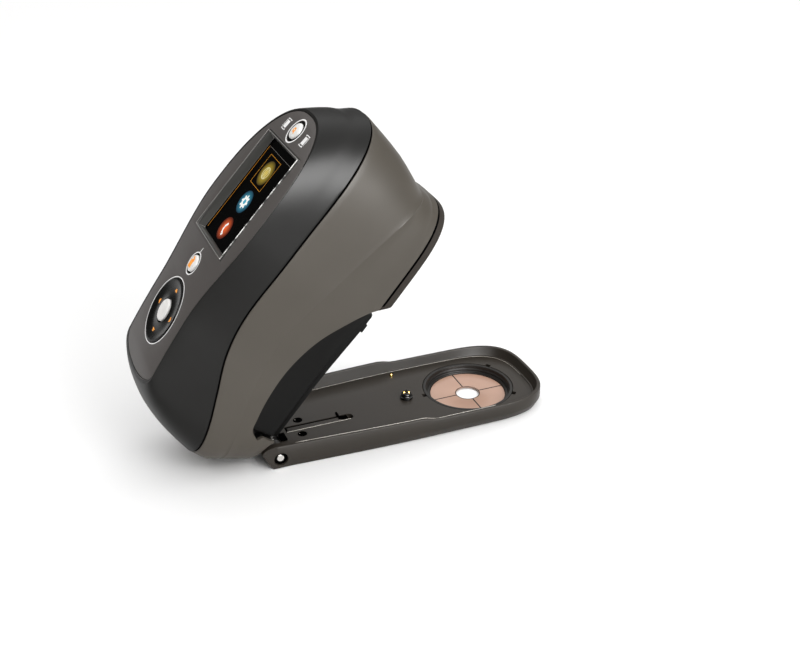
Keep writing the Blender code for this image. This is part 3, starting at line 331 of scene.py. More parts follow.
shoe_black = moulded_plastic("shoe_satin_black", (0.027, 0.0216, 0.0160), 0.40, gloss=0.25)
wall_levels = ((1.0, 0), (0.83, 0.0003), (0.17, 0.0040), (0, 0.0052))
rim_round = ((0, edge_round), (0.3 * edge_round, 0.3 * edge_round), (edge_round, 0))
# From the wall's inner face down to the floor: inset past the wall, rise, and inset at the front
floor_fillet = ((0.0002, 0.0009, 0.0016), (0.0003, 0.0006, 0.0018), (0.0006, 0.00055, 0.0019),
                (0.0008, 0.0004, 0.0020), (0.0009, 0, 0.0020))
tray_rings = [wall_ring(share, height) for share, height in wall_levels]
tray_rings += [rim_ring(inset, drop) for inset, drop in rim_round]
tray_rings += [rim_ring(shoe_wall - inset, drop) for inset, drop in reversed(rim_round)]
tray_rings += [shoe_ring(shoe_wall + inset, shoe_floor + rise, front_in)
               for inset, rise, front_in in floor_fillet]
shoe = as_mesh("sampling_shoe", skin(tray_rings))

ear_outline = [(-0.0044, 0), (-0.0076, 0.0044), (-0.0107, 0.0105), (-0.0104, 0.0119), (-0.0092, 0.0131),
               (-0.0070, 0.0141), (-0.0045, 0.0146), (-0.0015, 0.0149), (0.0020, 0.0148), (0.0060, 0.0146),
               (0.0120, 0.0143), (0.0120, 0)]
carve(shoe, *[slab_mesh(ear_outline, side * ear_inside, side * ear_outside) for side in (-1, 1)],
      operation="UNION")

channel_middle = (channel_near + channel_far) / 2
channel_half = (channel_far - channel_near) / 2
shoe_cuts = [block_mesh((-0.020, -ear_inside, 0.0012), (0.005, ear_inside, 0.030)),
             hinge_bore(0.0026, 0.040, 32),
             bore((target_x, 0), -0.003, ring_hole_radius, 96),
             bore((target_x, 0), 0.0024, bayonet_radius, 96, high=0.0046),
             block_mesh((channel_rear, channel_near, channel_floor), (channel_front, channel_far, 0.010)),
             bore((channel_front, channel_middle), channel_floor, channel_half, 32),
             bore(post_place, 0.0030, 0.0025, 32),
             bore(pin_place, 0.0032, 0.0011, 24)]
shoe_cuts += [bore(place, 0.0040, 0.0030, 32) for place in screw_places]
shoe_cuts += [bore(place, 0.0015, 0.0015, 16) for place in screw_places]
for side in (-1, 1):
    shoe_cuts.append(rod_mesh((0, side * 0.0319, hinge_height), (0, side * 0.040, hinge_height), 0.0042, 40))
for angle in (180, 39, -39):
    turn = Matrix.Translation((target_x, 0, 0)) @ Matrix.Rotation(math.radians(angle), 4, "Z")
    shoe_cuts.append(block_mesh((0.0142, -0.0017, 0.0028), (bayonet_radius, 0.0017, 0.012), turn))
carve(shoe, *shoe_cuts)
finish_piece(shoe, shoe_black, "shoe", "shoe_tray")

# Painted light on the shoe. Thin pale wires are painted highlights where the moulding's edges
# catch the light: along the near rim's inner edge, round the foot of the far wall and along the
# near side of the lock's channel. The channel's far side and the ears' recesses round the hinge
# pin lie in full shadow, painted as flat black.

numbered_sides = ((1, -1), (2, 1))


def wire(name, points, radius, fineness=1):
    """A thin round wire through the points."""
    run = bpy.data.curves.new(name, "CURVE")
    run.dimensions = "3D"
    run.bevel_depth = radius
    run.bevel_resolution = fineness
    run.use_fill_caps = True
    spline = run.splines.new("POLY")
    spline.points.add(len(points) - 1)
    for target, point in zip(spline.points, points):
        target.co = (*point, 1)
    drawn = add_object(name, run)
    bpy.context.view_layer.update()
    mesh = bpy.data.meshes.new_from_object(drawn.evaluated_get(bpy.context.evaluated_depsgraph_get()))
    bpy.data.objects.remove(drawn, do_unlink=True)
    mesh.shade_smooth()
    return add_object(name, mesh)


# A pale finish for the painted highlights on the shoe's edges and screw heads.
worn_edge = moulded_plastic("worn_edge", (0.46, 0.42, 0.36), 0.30, grain=0)
rim_places = [0.006 + 0.002 * step for step in range(66)]
near_rim = [(x, 0.0018 - shoe_side(x), rim_height(x) - 0.00003) for x in rim_places]
wall_foot = [point for point in shoe_ring(shoe_wall + 0.00092, shoe_floor + 0.00004, 0.0020)
             if point[0] > 0.012 and point[1] > -0.006]
wall_foot.sort(key=lambda point: -math.atan2(point[1], point[0] - 0.13))
channel_edge = [(0.0114, -0.0080, 0.00615), (0.0520, -0.0080, 0.00615)]
for name, points, radius in (("near_rim_glint", near_rim, 0.00019), ("wall_foot_glint", wall_foot, 0.00011),
                             ("channel_glint", channel_edge, 0.00016)):
    finish_piece(wire(name, points, radius), worn_edge, "shoe")

# Flat black: the own colour of the screws and spring anchors, and painted shade in the channel's slot, the
# ears' recesses, on the lock's tab, in the open seam and under the head's foot.
recess_black = moulded_plastic("recess_black", (0.001, 0.001, 0.001), 0.7, grain=0, gloss=0.0)
# A black block fills the channel's slot as painted shade.
painted_slot_shade = block_mesh((0.0112, -0.0060, 0.0040), (0.0510, -0.0021, 0.0056))
finish_piece(as_mesh("channel_shadow", painted_slot_shade), recess_black, "shoe")
# Thin black discs at the floors of the ears' recesses are painted shade.
for number, side in numbered_sides:
    recess = rod_mesh((0, side * 0.03192, hinge_height), (0, side * 0.03196, hinge_height), 0.00415, 40)
    finish_piece(as_mesh(f"pin_recess_{number}", recess), recess_black, "shoe")

# Target ring and window. The ring is a black bayonet ring that turns under the shoe's floor.
# The window is a frosted cream disc, printed with a cross, with a hole over the sample.

print_height = 0.00006
disc_top = 0.0011


def spun(profile, segments):
    """Spin a closed (radius, height) profile about the upright axis."""
    bm = bmesh.new()
    points = [bm.verts.new((radius, 0, height)) for radius, height in profile]
    edges = [bm.edges.new(pair) for pair in zip(points, points[1:])]
    if profile[0][0] > 0:
        edges.append(bm.edges.new((points[-1], points[0])))
    bmesh.ops.spin(bm, geom=points + edges, cent=(0, 0, 0), axis=(0, 0, 1), angle=2 * math.pi,
                   steps=segments, use_merge=True)
    bmesh.ops.remove_doubles(bm, verts=bm.verts, dist=0.000005)
    bmesh.ops.recalc_face_normals(bm, faces=bm.faces)
    return bm


def turned(name, profile, place, segments=96):
    return as_mesh(name, spun(profile, segments), place)


def about(degrees):
    return Matrix.Rotation(math.radians(degrees), 4, "Z")


def mottled(name, low, high, scale, detail, rough=None, relief=None, texture="TexNoise", **fixed):
    """A finish whose tone drifts by one texture, as do its roughness and relief if they are given."""
    material, shader, place = start_finish(name, **fixed)
    drift = place.node(texture, Vector=place, Scale=scale, Detail=detail)
    drift.tint(low, high).into(shader, "Base Color")
    if rough:
        level, spread = rough
        (level + (drift - 0.5) * spread).into(shader, "Roughness")
    if relief:
        strength, distance = relief
        drift.node("Bump", Strength=strength, Distance=distance, Height=drift).into(shader, "Normal")
    return material


at_target = Matrix.Translation((target_x, 0, 0))
ring_profile = [(0.0287, 0.0058), (0.0287, 0.0001), (0.0229, 0.0001), (0.0229, 0.0005), (0.0241, 0.0005),
                (0.0241, 0.0016), (0.0244, 0.0019), (0.0257, 0.0019), (0.0260, 0.0022), (0.0260, 0.0034),
                (0.0262, 0.0036), (0.0264, 0.0036), (0.0266, 0.0038), (0.0266, 0.0056), (0.0267, 0.0059),
                (0.0270, 0.0061), (0.0284, 0.0061), (0.0286, 0.0060)]
ring_black = moulded_plastic("ring_black", (0.0125, 0.0110, 0.0092), 0.38, gloss=0.26)
ring = turned("bayonet_ring", ring_profile, at_target)
carve(ring, *[block_mesh((0.0272, -0.0013, 0.0028), (0.0309, 0.0013, 0.0042), at_target @ about(angle))
              for angle in (195, 54, -24)], operation="UNION")
finish_piece(ring, ring_black, "target", "target_ring")

cream = mottled("frosted_cream_disc", (0.40, 0.230, 0.158), (0.50, 0.305, 0.222), 60.0, 3.0, (0.42, 0.15),
                Coat_Weight=0.25, Coat_Roughness=0.15)
disc_profile = [(0.0238, disc_top), (0.0238, 0.0006), (0.0073, 0.0006), (0.0073, 0.0010), (0.0075, disc_top)]
finish_piece(turned("target_disc", disc_profile, at_target), cream, "target", "target_window")

print_black = moulded_plastic("printed_black", (0.006, 0.005, 0.004), 0.5, grain=0, gloss=0.2)
cross = bmesh.new()
arm = Matrix.Translation((0.0156, 0, disc_top)) @ Matrix.Diagonal((0.0163, 0.0008, print_height, 1))
for angle in (0, 90, 180, 270):
    bmesh.ops.create_cube(cross, size=1, matrix=at_target @ about(angle) @ arm)
finish_piece(as_mesh("target_cross", cross), print_black, "target")
rim_print = [(0.0079, 0.00113), (0.0079, 0.00107), (0.0074, 0.00107), (0.0074, 0.00113)]
finish_piece(turned("target_hole_rim", rim_print, at_target, 64), print_black, "target")

# Fittings on the shoe's floor: the contact post with its two gold spring contacts, the gold
# pin beside it, two blackened screws and the lock bar that slides in its channel.


def soften(piece, width, segments):
    """Round off a piece's edges."""
    rounding = piece.modifiers.new("soft_edges", "BEVEL")
    rounding.width = width
    rounding.segments = segments
    settle(piece)


def dress(material, *nodes):
    """Give CAD nodes their finish."""
    for node in nodes:
        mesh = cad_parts[node].data
        mesh.materials.clear()
        mesh.materials.append(material)


gold = mottled("gold_plate", (0.70, 0.43, 0.10), (0.86, 0.60, 0.20), 900.0, 2.0, (0.24, 0.12), Metallic=1.0)
post_black = moulded_plastic("post_black", (0.005, 0.005, 0.0045), 0.24, gloss=0.35)
at_post = Matrix.Translation((*post_place, shoe_floor + 0.0003))
post_profile = [(0, 0.0036), (0.0023, 0.0036), (0.0027, 0.0034), (0.0031, 0.0029), (0.0031, 0.0018),
                (0.0034, 0.0014), (0.0040, 0.0011), (0.0040, 0), (0.0022, 0), (0.0022, -0.0028), (0, -0.0028)]
post = turned("post_body", post_profile, at_post, 40)
contact_step = Vector((0.0013, -0.0006, 0))
carve(post, *[bore(Vector(post_place) + side * contact_step.xy, 0.0087, 0.0011, 20, high=0.0120)
              for side in (-1, 1)])
finish_piece(post, post_black, "shoe", "contact_post")
contact_tip = [(0, 0.0043), (0.0005, 0.0042), (0.0008, 0.0038), (0.0009, 0.0034), (0.0009, 0.0026),
               (0, 0.0026)]
for number, side in numbered_sides:
    at_contact = at_post @ Matrix.Translation(side * contact_step)
    contact = turned(f"gold_contact_{number}", contact_tip, at_contact, 20)
    finish_piece(contact, gold, "shoe", f"post_contact_{number}")
spike_profile = [(0, 0.0058), (0.0003, 0.0056), (0.0005, 0.0046), (0.0006, 0.0032), (0, 0.0032)]
finish_piece(turned("post_spike", spike_profile, at_post, 16), post_black, "shoe")
pin_tip = [(0, 0.0076), (0.0005, 0.0075), (0.0009, 0.0070), (0.0009, 0.0035), (0, 0.0035)]
at_pin = Matrix.Translation((*pin_place, 0))
finish_piece(turned("gold_pin", pin_tip, at_pin, 24), gold, "shoe", "locating_pin")

screw_profile = [(0, 0.0001), (0.0024, 0.00005), (0.0027, -0.0002), (0.0027, -0.0012), (0.0012, -0.0012),
                 (0.0012, -0.0042), (0, -0.0042)]
slot_reach = 0.0012
slot_half = 0.00025
for number, (x, y) in enumerate(screw_places, 1):
    seat = Matrix.Translation((x, y, shoe_floor + 0.0001))
    head = turned(f"floor_screw_{number}", screw_profile, seat, 32)
    carve(head, *[block_mesh((-reach, -half, -0.0006), (reach, half, 0.001), seat)
                  for reach, half in ((slot_reach, slot_half), (slot_half, slot_reach))])
    finish_piece(head, recess_black, "shoe", f"shoe_screw_{number}")
    # A pale dot on each screw head is a painted highlight.
    spot = bore((x - 0.0015, y + 0.0007), shoe_floor, 0.0003, 12, high=shoe_floor + 0.0002)
    finish_piece(as_mesh(f"screw_glint_{number}", spot), worn_edge, "shoe")

bar = as_mesh("lock_bar", block_mesh((0.0122, -0.0076, 0.0058), (0.0462, -0.0041, 0.0064)))
soften(bar, 0.0002, 3)
finish_piece(bar, shoe_black, "lock", "lock_slide")
# The tab is drawn flat black: painted shade.
tab = as_mesh("lock_tab", block_mesh((0.0449, -0.0068, 0.0060), (0.0462, 0.0014, 0.0070)))
soften(tab, 0.0003, 3)
finish_piece(tab, recess_black, "lock")
dress(recess_black, "spring_anchor_1", "spring_anchor_2")

# Hinge. A steel pin crosses the ears. Two torsion springs round it push the instrument up,
# and a cast bracket with two knuckles carries the instrument on it.

spring_radius = 0.0034
spring_steps = 24
steel = mottled("bright_steel", (0.55, 0.53, 0.50), (0.72, 0.70, 0.67), 700.0, 3.0, (0.22, 0.14),
                Metallic=1.0)
blackened = moulded_plastic("blackened_steel", (0.020, 0.019, 0.018), 0.30, grain=0, Metallic=0.6)
hinge_profile = [(0, 0.0322), (0.0020, 0.0322), (0.0025, 0.0317), (0.0025, -0.0317), (0.0020, -0.0322),
                 (0, -0.0322)]
across = Matrix.Translation((0, 0, hinge_height)) @ Matrix.Rotation(math.radians(90), 4, "X")
finish_piece(turned("steel_hinge_pin", hinge_profile, across, 48), steel, "shoe", "hinge_pin")
for number, side in numbered_sides:
    turns = []
    for step in range(127):
        angle = 2 * math.pi * step / spring_steps - math.pi / 2
        turns.append((spring_radius * math.cos(angle), side * (0.0045 + 0.0019 * step / spring_steps),
                      hinge_height + spring_radius * math.sin(angle)))
    spring = wire(f"torsion_spring_{number}", turns, 0.0005, 2)
    finish_piece(spring, blackened, "shoe", f"hinge_spring_{number}")
dress(moulded_plastic("bracket_black", (0.030, 0.028, 0.025), 0.45), "hinge_bracket")

# Inside of the instrument: boards, optics, battery and inlets. They are sealed in the
# casings and keep their solids' shapes, each with its own finish.

cast = mottled("cast_alloy", (0.36, 0.35, 0.33), (0.50, 0.49, 0.47), 420.0, 4.0, (0.48, 0.2), (0.3, 0.00004),
               Metallic=1.0)
dress(cast, "chassis", "display_module", "detector_module", "lamp_module")
laminate = mottled("green_laminate", (0.012, 0.085, 0.035), (0.030, 0.150, 0.070), 380.0, 0.0,
                   texture="TexVoronoi", Roughness=0.45, Coat_Weight=0.3)
dress(laminate, "main_board", "keypad_board", "measure_board")
lining = mottled("white_lining", (0.78, 0.78, 0.76), (0.86, 0.86, 0.84), 900.0, 2.0, Roughness=0.9)
dress(lining, "sphere_lower", "sphere_upper")
wrap = mottled("blue_cell_wrap", (0.03, 0.07, 0.22), (0.06, 0.12, 0.34), 160.0, 2.0, Roughness=0.4)
dress(wrap, "battery_pack")
tube_black = moulded_plastic("tube_black", (0.010, 0.010, 0.010), 0.6)
dress(tube_black, "viewing_tube", "specular_trap", "power_jack")
dress(steel, "usb_port", "head_screw_1", "head_screw_2", "head_screw_3", "head_screw_4")

# Lower housing. A warm grey satin moulding, arched on both sides for the fingers, with a faint
# crease along its flank and a fine step above its foot. Thin black rings in the open seam above
# it and in the gap under the head's foot are painted shadow.

open_angle = 49.9
body_rear = -0.0257
body_front = 0.1880
body_half_grip = 0.0368
body_half_head = 0.0420
foot_half_grip = 0.0339
foot_half_head = 0.0380
shell_wall = 0.0022
seam_gap = 0.0012
lip = 0.00025
parting_height = 0.0820
arch_rear = 0.0044
arch_front = 0.1058
arch_height = 0.0393
past_side = 0.045
tipped = (Matrix.Translation((0, 0, hinge_height)) @ Matrix.Rotation(-math.radians(open_angle), 4, "Y")
          @ Matrix.Translation((0, 0, -hinge_height)))
parting_shares = ((0, 0.616), (0.127, 0.726), (0.209, 0.817), (0.308, 0.927), (0.42, 0.988),
                  (0.55, 1.0), (0.77, 0.979), (1.0, 0.925))
crease_shares = ((0.01, 0.40), (0.237, 0.59), (0.34, 0.64), (0.43, 0.658), (0.514, 0.634),
                 (0.593, 0.60), (0.767, 0.502), (0.874, 0.41), (0.94, 0.31), (1.0, 0.27))
arch_shares = ((0, 0.70), (0.04, 0.86), (0.115, 0.92), (0.22, 0.972), (0.35, 1.0), (0.47, 0.99),
               (0.62, 0.93), (0.73, 0.84), (0.87, 0.66), (0.95, 0.53), (1.0, 0.40))


def smooth_run(low, high, start_slope, end_slope, t):
    """A cubic run from one value to the next, with the slope it has at each end."""
    return ((2 * t**3 - 3 * t**2 + 1) * low + (t**3 - 2 * t**2 + t) * start_slope
            + (3 * t**2 - 2 * t**3) * high + (t**3 - t**2) * end_slope)


def through(points, x):
    """A smooth curve through (x, value) points."""
    if x <= points[0][0]:
        return points[0][1]
    for index in range(len(points) - 1):
        x0, low = points[index]
        x1, high = points[index + 1]
        if x > x1:
            continue
        before = points[max(index - 1, 0)]
        after = points[min(index + 2, len(points) - 1)]
        run = x1 - x0
        start_slope = run * (high - before[1]) / (x1 - before[0])
        end_slope = run * (after[1] - low) / (after[0] - x0)
        return smooth_run(low, high, start_slope, end_slope, (x - x0) / run)
    return points[-1][1]


def parting(x):
    return parting_height * through(parting_shares, (x - body_rear) / (body_front - body_rear))


def crease(x):
    return parting_height * through(crease_shares, (x - body_rear) / (body_front - body_rear))


def arch(x):
    return arch_height * through(arch_shares, (x - arch_rear) / (arch_front - arch_rear))


def flared(grip, head, inset=0):
    """A half width that grows from the grip to the head."""
    return lambda x: between(grip, head, smooth_step(x, 0.045, 0.105)) - inset


def seam_height(x):
    return parting(x) - seam_gap / 2


# Each level's rear, front, half widths at grip and head, front rounding, corner powers and height
housing_levels = {
    "foot": (-0.0128, 0.1736, foot_half_grip, foot_half_head, 0.046, (3.0, 3.2), 0.0158),
    "step": (-0.0165, 0.1731, 0.0347, 0.0388, 0.046, (3.0, 3.2), 0.0208),
    "crease": (-0.0225, 0.1728, 0.0364, 0.0407, 0.046, (3.0, 3.3), crease),
    "middle": (body_rear, 0.1820, body_half_grip, 0.04135, 0.057, (3.0, 3.0),
               lambda x: between(crease(x), seam_height(x), 0.5)),
    "seam": (body_rear, body_front, body_half_grip, body_half_head, 0.059, (3.0, 2.45), seam_height)}


def housing_ring(name, inset=0, lift=0):
    rear, front, grip, head, front_round, powers, height = housing_levels[name]
    return plan(rear + inset, front - inset, flared(grip, head, inset), 0.030, front_round, powers,
                lambda x: level_at(height, x) + lift)


def head_ring(inset, height, rear, front):
    """A level outline of the head's end of the housing's foot."""
    return plan(rear, front - inset, flared(foot_half_grip, foot_half_head, inset), 0.005, 0.046, (8.0, 3.2),
                height)


def mixed_ring(first, second, share):
    return [tuple(between(a, b, share) for a, b in zip(one, two)) for one, two in zip(first, second)]


def rounded_chain(rings):
    """Three extra rings between each two, on a smooth run through a chain of rings."""
    steps = 4
    chain = [rings[0]]
    for index in range(len(rings) - 1):
        low, high = rings[index], rings[index + 1]
        before = rings[max(index - 1, 0)]
        after = rings[min(index + 2, len(rings) - 1)]
        for step in range(1, steps + 1):
            chain.append([tuple(smooth_run(b, c, (c - a) / 2, (d - b) / 2, step / steps)
                                for a, b, c, d in zip(*points)) for points in zip(before, low, high, after)])
    return chain


def fit_to_instrument(piece, material, *nodes):
    """Tip up a piece that was made level, and finish it as a part of the instrument."""
    piece.data.transform(tipped)
    finish_piece(piece, material, "instrument", *nodes)


warm_grey = moulded_plastic("warm_grey_satin", (0.077, 0.068, 0.056), 0.42, gloss=0.17)
outer = [housing_ring("foot", lip, 0), housing_ring("foot", 0, lip)]
outer += [housing_ring("step", 0.00014, -0.0004), housing_ring("step", 0, -0.0001)]
outer += [mixed_ring(housing_ring("step"), housing_ring("crease"), share) for share in (0.35, 0.7)]
outer += [housing_ring("crease", 0.00012, -0.0004), housing_ring("crease", -0.00008, 0.0001)]
outer += rounded_chain([housing_ring("crease", 0, 0.0008), housing_ring("middle"),
                        housing_ring("seam", 0, -2 * lip)])
outer += [housing_ring("seam", 0.3 * lip, -0.7 * lip), housing_ring("seam", lip, 0)]
inner = [housing_ring(name, shell_wall) for name in ("seam", "middle", "crease", "step", "foot")]
housing = as_mesh("grey_housing", skin(outer + inner, ring_shaped=True))
arch_side = [(0.0075, -0.003), (0.0075, 0.0255)]
for step in range(71):
    x = between(arch_rear, arch_front, (step / 70) ** 1.3)
    arch_side.append((x, arch(x)))
arch_side.append((arch_front, -0.003))
usb_cut = block_mesh((0.0192, 0.030, 0.0581), (0.0288, past_side, 0.0621))
power_cut = rod_mesh((0.0400, 0.030, 0.0601), (0.0400, past_side, 0.0601), 0.0041, 40)
carve(housing, slab_mesh(arch_side, -past_side, past_side), hinge_bore(0.0131, past_side, 96),
      usb_cut, power_cut)
fit_to_instrument(housing, warm_grey, "lower_housing")

# Painted shadow: thin black rings inside the seam and under the head's foot.
seam_section = ((0.0004, -0.0004), (0.0004, 0.0016), (0.0012, 0.0016), (0.0012, -0.0004))
foot_section = ((0.0003, 0.0144), (0.0003, 0.0160), (0.0012, 0.0160), (0.0012, 0.0144))
seam_rings = [housing_ring("seam", inset, lift) for inset, lift in seam_section]
foot_rings = [head_ring(inset, height, 0.1072, 0.1736) for inset, height in foot_section]
for name, rings in (("seam_liner", seam_rings), ("foot_liner", foot_rings)):
    fit_to_instrument(as_mesh(name, skin(rings, ring_shaped=True)), recess_black)

# Top cover. A charcoal moulding that rolls from the seam up to the keypad panel's seat. It
# is screwed to the housing from inside, so no screw shows.

crown_x = 0.0865
crown_height = 0.10695
crown_radius = 0.610
panel_rear = 0.0004
panel_front = 0.1700
panel_half_grip = 0.0306
panel_half_head = 0.0410
panel_rim = 0.0011
display_x = 0.1160
display_reach = 0.0337
display_half = 0.02695
display_play = 0.0003
pad_x = 0.0366
option_x = 0.0677
measure_x = 0.1590


def panel_height(x):
    return crown_height - (x - crown_x) ** 2 / (2 * crown_radius)


def on_panel(x):
    """A place on the panel's curve, turned to lie along it."""
    slope = math.atan((crown_x - x) / crown_radius)
    return Matrix.Translation((x, 0, panel_height(x))) @ Matrix.Rotation(-slope, 4, "Y")


def panel_ring(grow, drop=0):
    return plan(panel_rear - grow, panel_front + grow, flared(panel_half_grip, panel_half_head, -grow),
                0.011 + grow, 0.060 + grow, (2.2, 2.4), lambda x: panel_height(x) - drop)


def cover_ring(level, inset=0, drop=0):
    up, rear_in, front_in, side_in = level
    return plan(between(body_rear, panel_rear - panel_rim, rear_in) + inset,
                between(body_front, panel_front + panel_rim, front_in) - inset,
                flared(between(body_half_grip, panel_half_grip + panel_rim, side_in),
                       between(body_half_head, panel_half_head + panel_rim, side_in), inset),
                between(0.030, 0.011, up), between(0.059, 0.060, up),
                (between(3.0, 2.2, up), between(2.45, 2.4, min(2 * up, 1))),
                lambda x: between(parting(x) + seam_gap / 2, panel_height(x), up) - drop)


def panel_openings():
    """The cuts through both cover and panel: the display's seat and three round key holes."""
    reach = display_reach + display_play
    half = display_half + display_play
    cuts = [block_mesh((-reach, -half, -0.008), (reach, half, 0.004), on_panel(display_x))]
    for x, radius in ((pad_x, 0.0195), (option_x, 0.0063), (measure_x, 0.0068)):
        hole = rod_mesh((0, 0, -0.008), (0, 0, 0.004), radius, 96)
        bmesh.ops.transform(hole, matrix=on_panel(x), verts=hole.verts)
        cuts.append(hole)
    return cuts


charcoal = moulded_plastic("charcoal_satin", (0.0046, 0.0043, 0.0036), 0.42, gloss=0.17)
# Each level's share of the way from the seam to the panel: up, and in at the rear, front and sides
cover_levels = ((0, 0, 0, 0), (0.27, 0.14, 0.27, 0.11), (0.52, 0.31, 0.44, 0.31),
                (0.76, 0.54, 0.68, 0.56), (0.92, 0.77, 0.86, 0.80), (1.0, 0.955, 0.96, 0.985))
seam_level = cover_levels[0]
cover_chain = [panel_ring(-shell_wall, 0.0032)]
cover_chain += [cover_ring(level, shell_wall) for level in reversed(cover_levels[:4])]
cover_chain += [cover_ring(seam_level, lip, 0), cover_ring(seam_level, 0.3 * lip, -0.3 * lip)]
cover_chain += rounded_chain([cover_ring(seam_level, 0, -lip)]
                             + [cover_ring(level) for level in cover_levels[1:]])
cover_chain += [panel_ring(0.0003), panel_ring(0.0003, 0.0012)]
cover = as_mesh("charcoal_cover", skin(cover_chain))
carve(cover, *panel_openings())
fit_to_instrument(cover, charcoal, "top_cover")

# Belly pan and battery door. A black tub under the grip, set back inside the arch, with a
# flush door for the battery. Its skin is smoother and darker than the housing's.

belly_rear = 0.0064
belly_front = 0.1034


def inside_housing(x, height):
    rim = flared(0.0345, 0.0386)(x)
    flank = flared(0.0364, 0.0407)(x)
    return between(rim, flank, (height - 0.0208) / (crease(x) - 0.0208)) - 0.0028


def belly_lip(x):
    return arch(x) + 0.0020


def belly_ring(inset, end_in, height, follow=0):
    """An outline of the tub. Follow is how much of the floor's draw it takes in."""

    def side(x):
        floor_in = between(0.0024, 0.0014, (x - belly_rear) / (belly_front - belly_rear))
        return inside_housing(x, level_at(height, x)) - inset - follow * floor_in

    return plan(belly_rear + end_in, belly_front - end_in, side, 0.005, 0.005, (6.0, 6.0), height)


belly_black = moulded_plastic("belly_black", (0.0026, 0.0025, 0.0022), 0.42, gloss=0.10)
belly_chain = [belly_ring(0.0005, 0.0021, 0.0142, 1), belly_ring(0.0001, 0.0017, 0.0144, 1),
               belly_ring(0, 0.0015, 0.0149, 1), belly_ring(0.0010, 0.0010, 0.0172, 0.3),
               belly_ring(0.0006, 0.0008, 0.0185),
               belly_ring(0.0002, 0.0003, lambda x: between(0.0185, belly_lip(x), 0.5)),
               belly_ring(0, 0, belly_lip), belly_ring(0.0018, 0.0018, belly_lip),
               belly_ring(0.0024, 0.0026, 0.0194), belly_ring(0.0018, 0.0034, 0.0160, 1)]
belly = as_mesh("belly_tub", skin(belly_chain))
feet = []
for side in (-1, 1):
    near, far = sorted((side * 0.0285, side * 0.0325))
    foot = block_mesh((0.0884, near, 0.0125), (0.0939, far, 0.0152))
    bmesh.ops.bevel(foot, geom=foot.edges[:], offset=0.0004, segments=2, affect="EDGES", profile=0.5,
                    material=-1)
    feet.append(foot)
carve(belly, *feet, operation="UNION")
carve(belly, block_mesh((0.0240, -0.0195, 0.010), (0.0700, 0.0195, 0.0175)),
      hinge_bore(0.0139, past_side, 96))
fit_to_instrument(belly, belly_black, "belly_pan")

door = as_mesh("battery_hatch", block_mesh((0.0243, -0.0192, 0.0142), (0.0697, 0.0192, 0.0171)))
carve(door, block_mesh((0.0220, -0.0080, 0.0163), (0.0720, 0.0080, 0.0171)), operation="UNION")
grip_places = [0.0600 + 0.0020 * rib for rib in range(4)]
carve(door, *[block_mesh((x, -0.0090, 0.0130), (x + 0.0008, 0.0090, 0.0146)) for x in grip_places])
soften(door, 0.0003, 2)
fit_to_instrument(door, belly_black, "battery_door")

# Head: a plate that closes the housing, the brown rubber ring that meets the shoe's rim, and
# the black nose that reaches the sample through the target ring.

gasket_low = 0.0090
gasket_high = 0.0147
gasket_front = 0.1750
gasket_outside = 0.0020
gasket_inside = 0.0062
soft = 0.0008
slight = 0.3 * soft
brown_rubber = mottled("brown_rubber", (0.020, 0.0155, 0.012), (0.036, 0.029, 0.0235), 240.0, 4.0,
                       (0.72, 0.2), (0.4, 0.00006), Specular_IOR_Level=0.12)
gasket_section = ((gasket_outside + soft, gasket_low, 0.1086 + soft),
                  (gasket_outside + slight, gasket_low + slight, 0.1084 + slight),
                  (gasket_outside, gasket_low + soft, 0.1080), (0.0016, 0.0144, 0.1040),
                  (gasket_outside, gasket_high, 0.1040), (gasket_inside, gasket_high, 0.1078),
                  (gasket_inside, gasket_low + soft, 0.1122),
                  (gasket_inside - slight, gasket_low + slight, 0.1126 - slight),
                  (gasket_inside - soft, gasket_low, 0.1128 - soft))
gasket_rings = [head_ring(inset, height, rear, gasket_front) for inset, height, rear in gasket_section]
gasket = as_mesh("rubber_gasket", skin(gasket_rings, ring_shaped=True))
fit_to_instrument(gasket, brown_rubber, "head_gasket")

nose_black = moulded_plastic("nose_black", (0.018, 0.017, 0.015), 0.34, Coat_Weight=0.2, Coat_Roughness=0.25)
nose_profile = [(0.0195, 0.0187), (0.0195, 0.0156), (0.0225, 0.0156), (0.0225, 0.0132), (0.0222, 0.0126),
                (0.0117, 0.0026), (0.0113, 0.0019), (0.0108, 0.0017), (0.0073, 0.0017), (0.0070, 0.0020),
                (0.0080, 0.0187)]
fit_to_instrument(turned("target_nose", nose_profile, at_target), nose_black, "measuring_nose")
dress(belly_black, "head_plate")

# Keypad panel. A matt brown printed film lying flush in the cover, with a rolled edge. A thin pale
# wire along its near border is a painted highlight. White ring lines are printed round the pad and
# round two small keys.

film_edge = 0.00025
film, film_shader, film_place = start_finish("brown_film")
tooth = film_place.node("TexNoise", Vector=film_place, Scale=2600.0, Detail=2.0)
tone = film_place.node("TexNoise", Vector=film_place, Scale=18.0, Detail=2.0)
tone.tint((0.062, 0.054, 0.050), (0.072, 0.063, 0.058)).into(film_shader, "Base Color")
(0.50 + (tooth - 0.5) * 0.12).into(film_shader, "Roughness")
tooth.node("Bump", Strength=0.4, Distance=0.00001, Height=tooth).into(film_shader, "Normal")
panel = as_mesh("keypad_film", skin([panel_ring(0, 0.0009), panel_ring(0, film_edge),
                                     panel_ring(-0.3 * film_edge, 0.3 * film_edge), panel_ring(-film_edge)]))
carve(panel, *panel_openings())
fit_to_instrument(panel, film, "keypad_panel")
# A thin pale wire along the panel's near border: a painted highlight on its rolled edge.
rolled_edge = moulded_plastic("rolled_edge", (0.060, 0.053, 0.048), 0.35, grain=0)
near_border = [point for point in panel_ring(0.00045) if point[1] < -0.004 and point[0] < 0.150]
fit_to_instrument(wire("panel_border", sorted(near_border), 0.00016), rolled_edge)

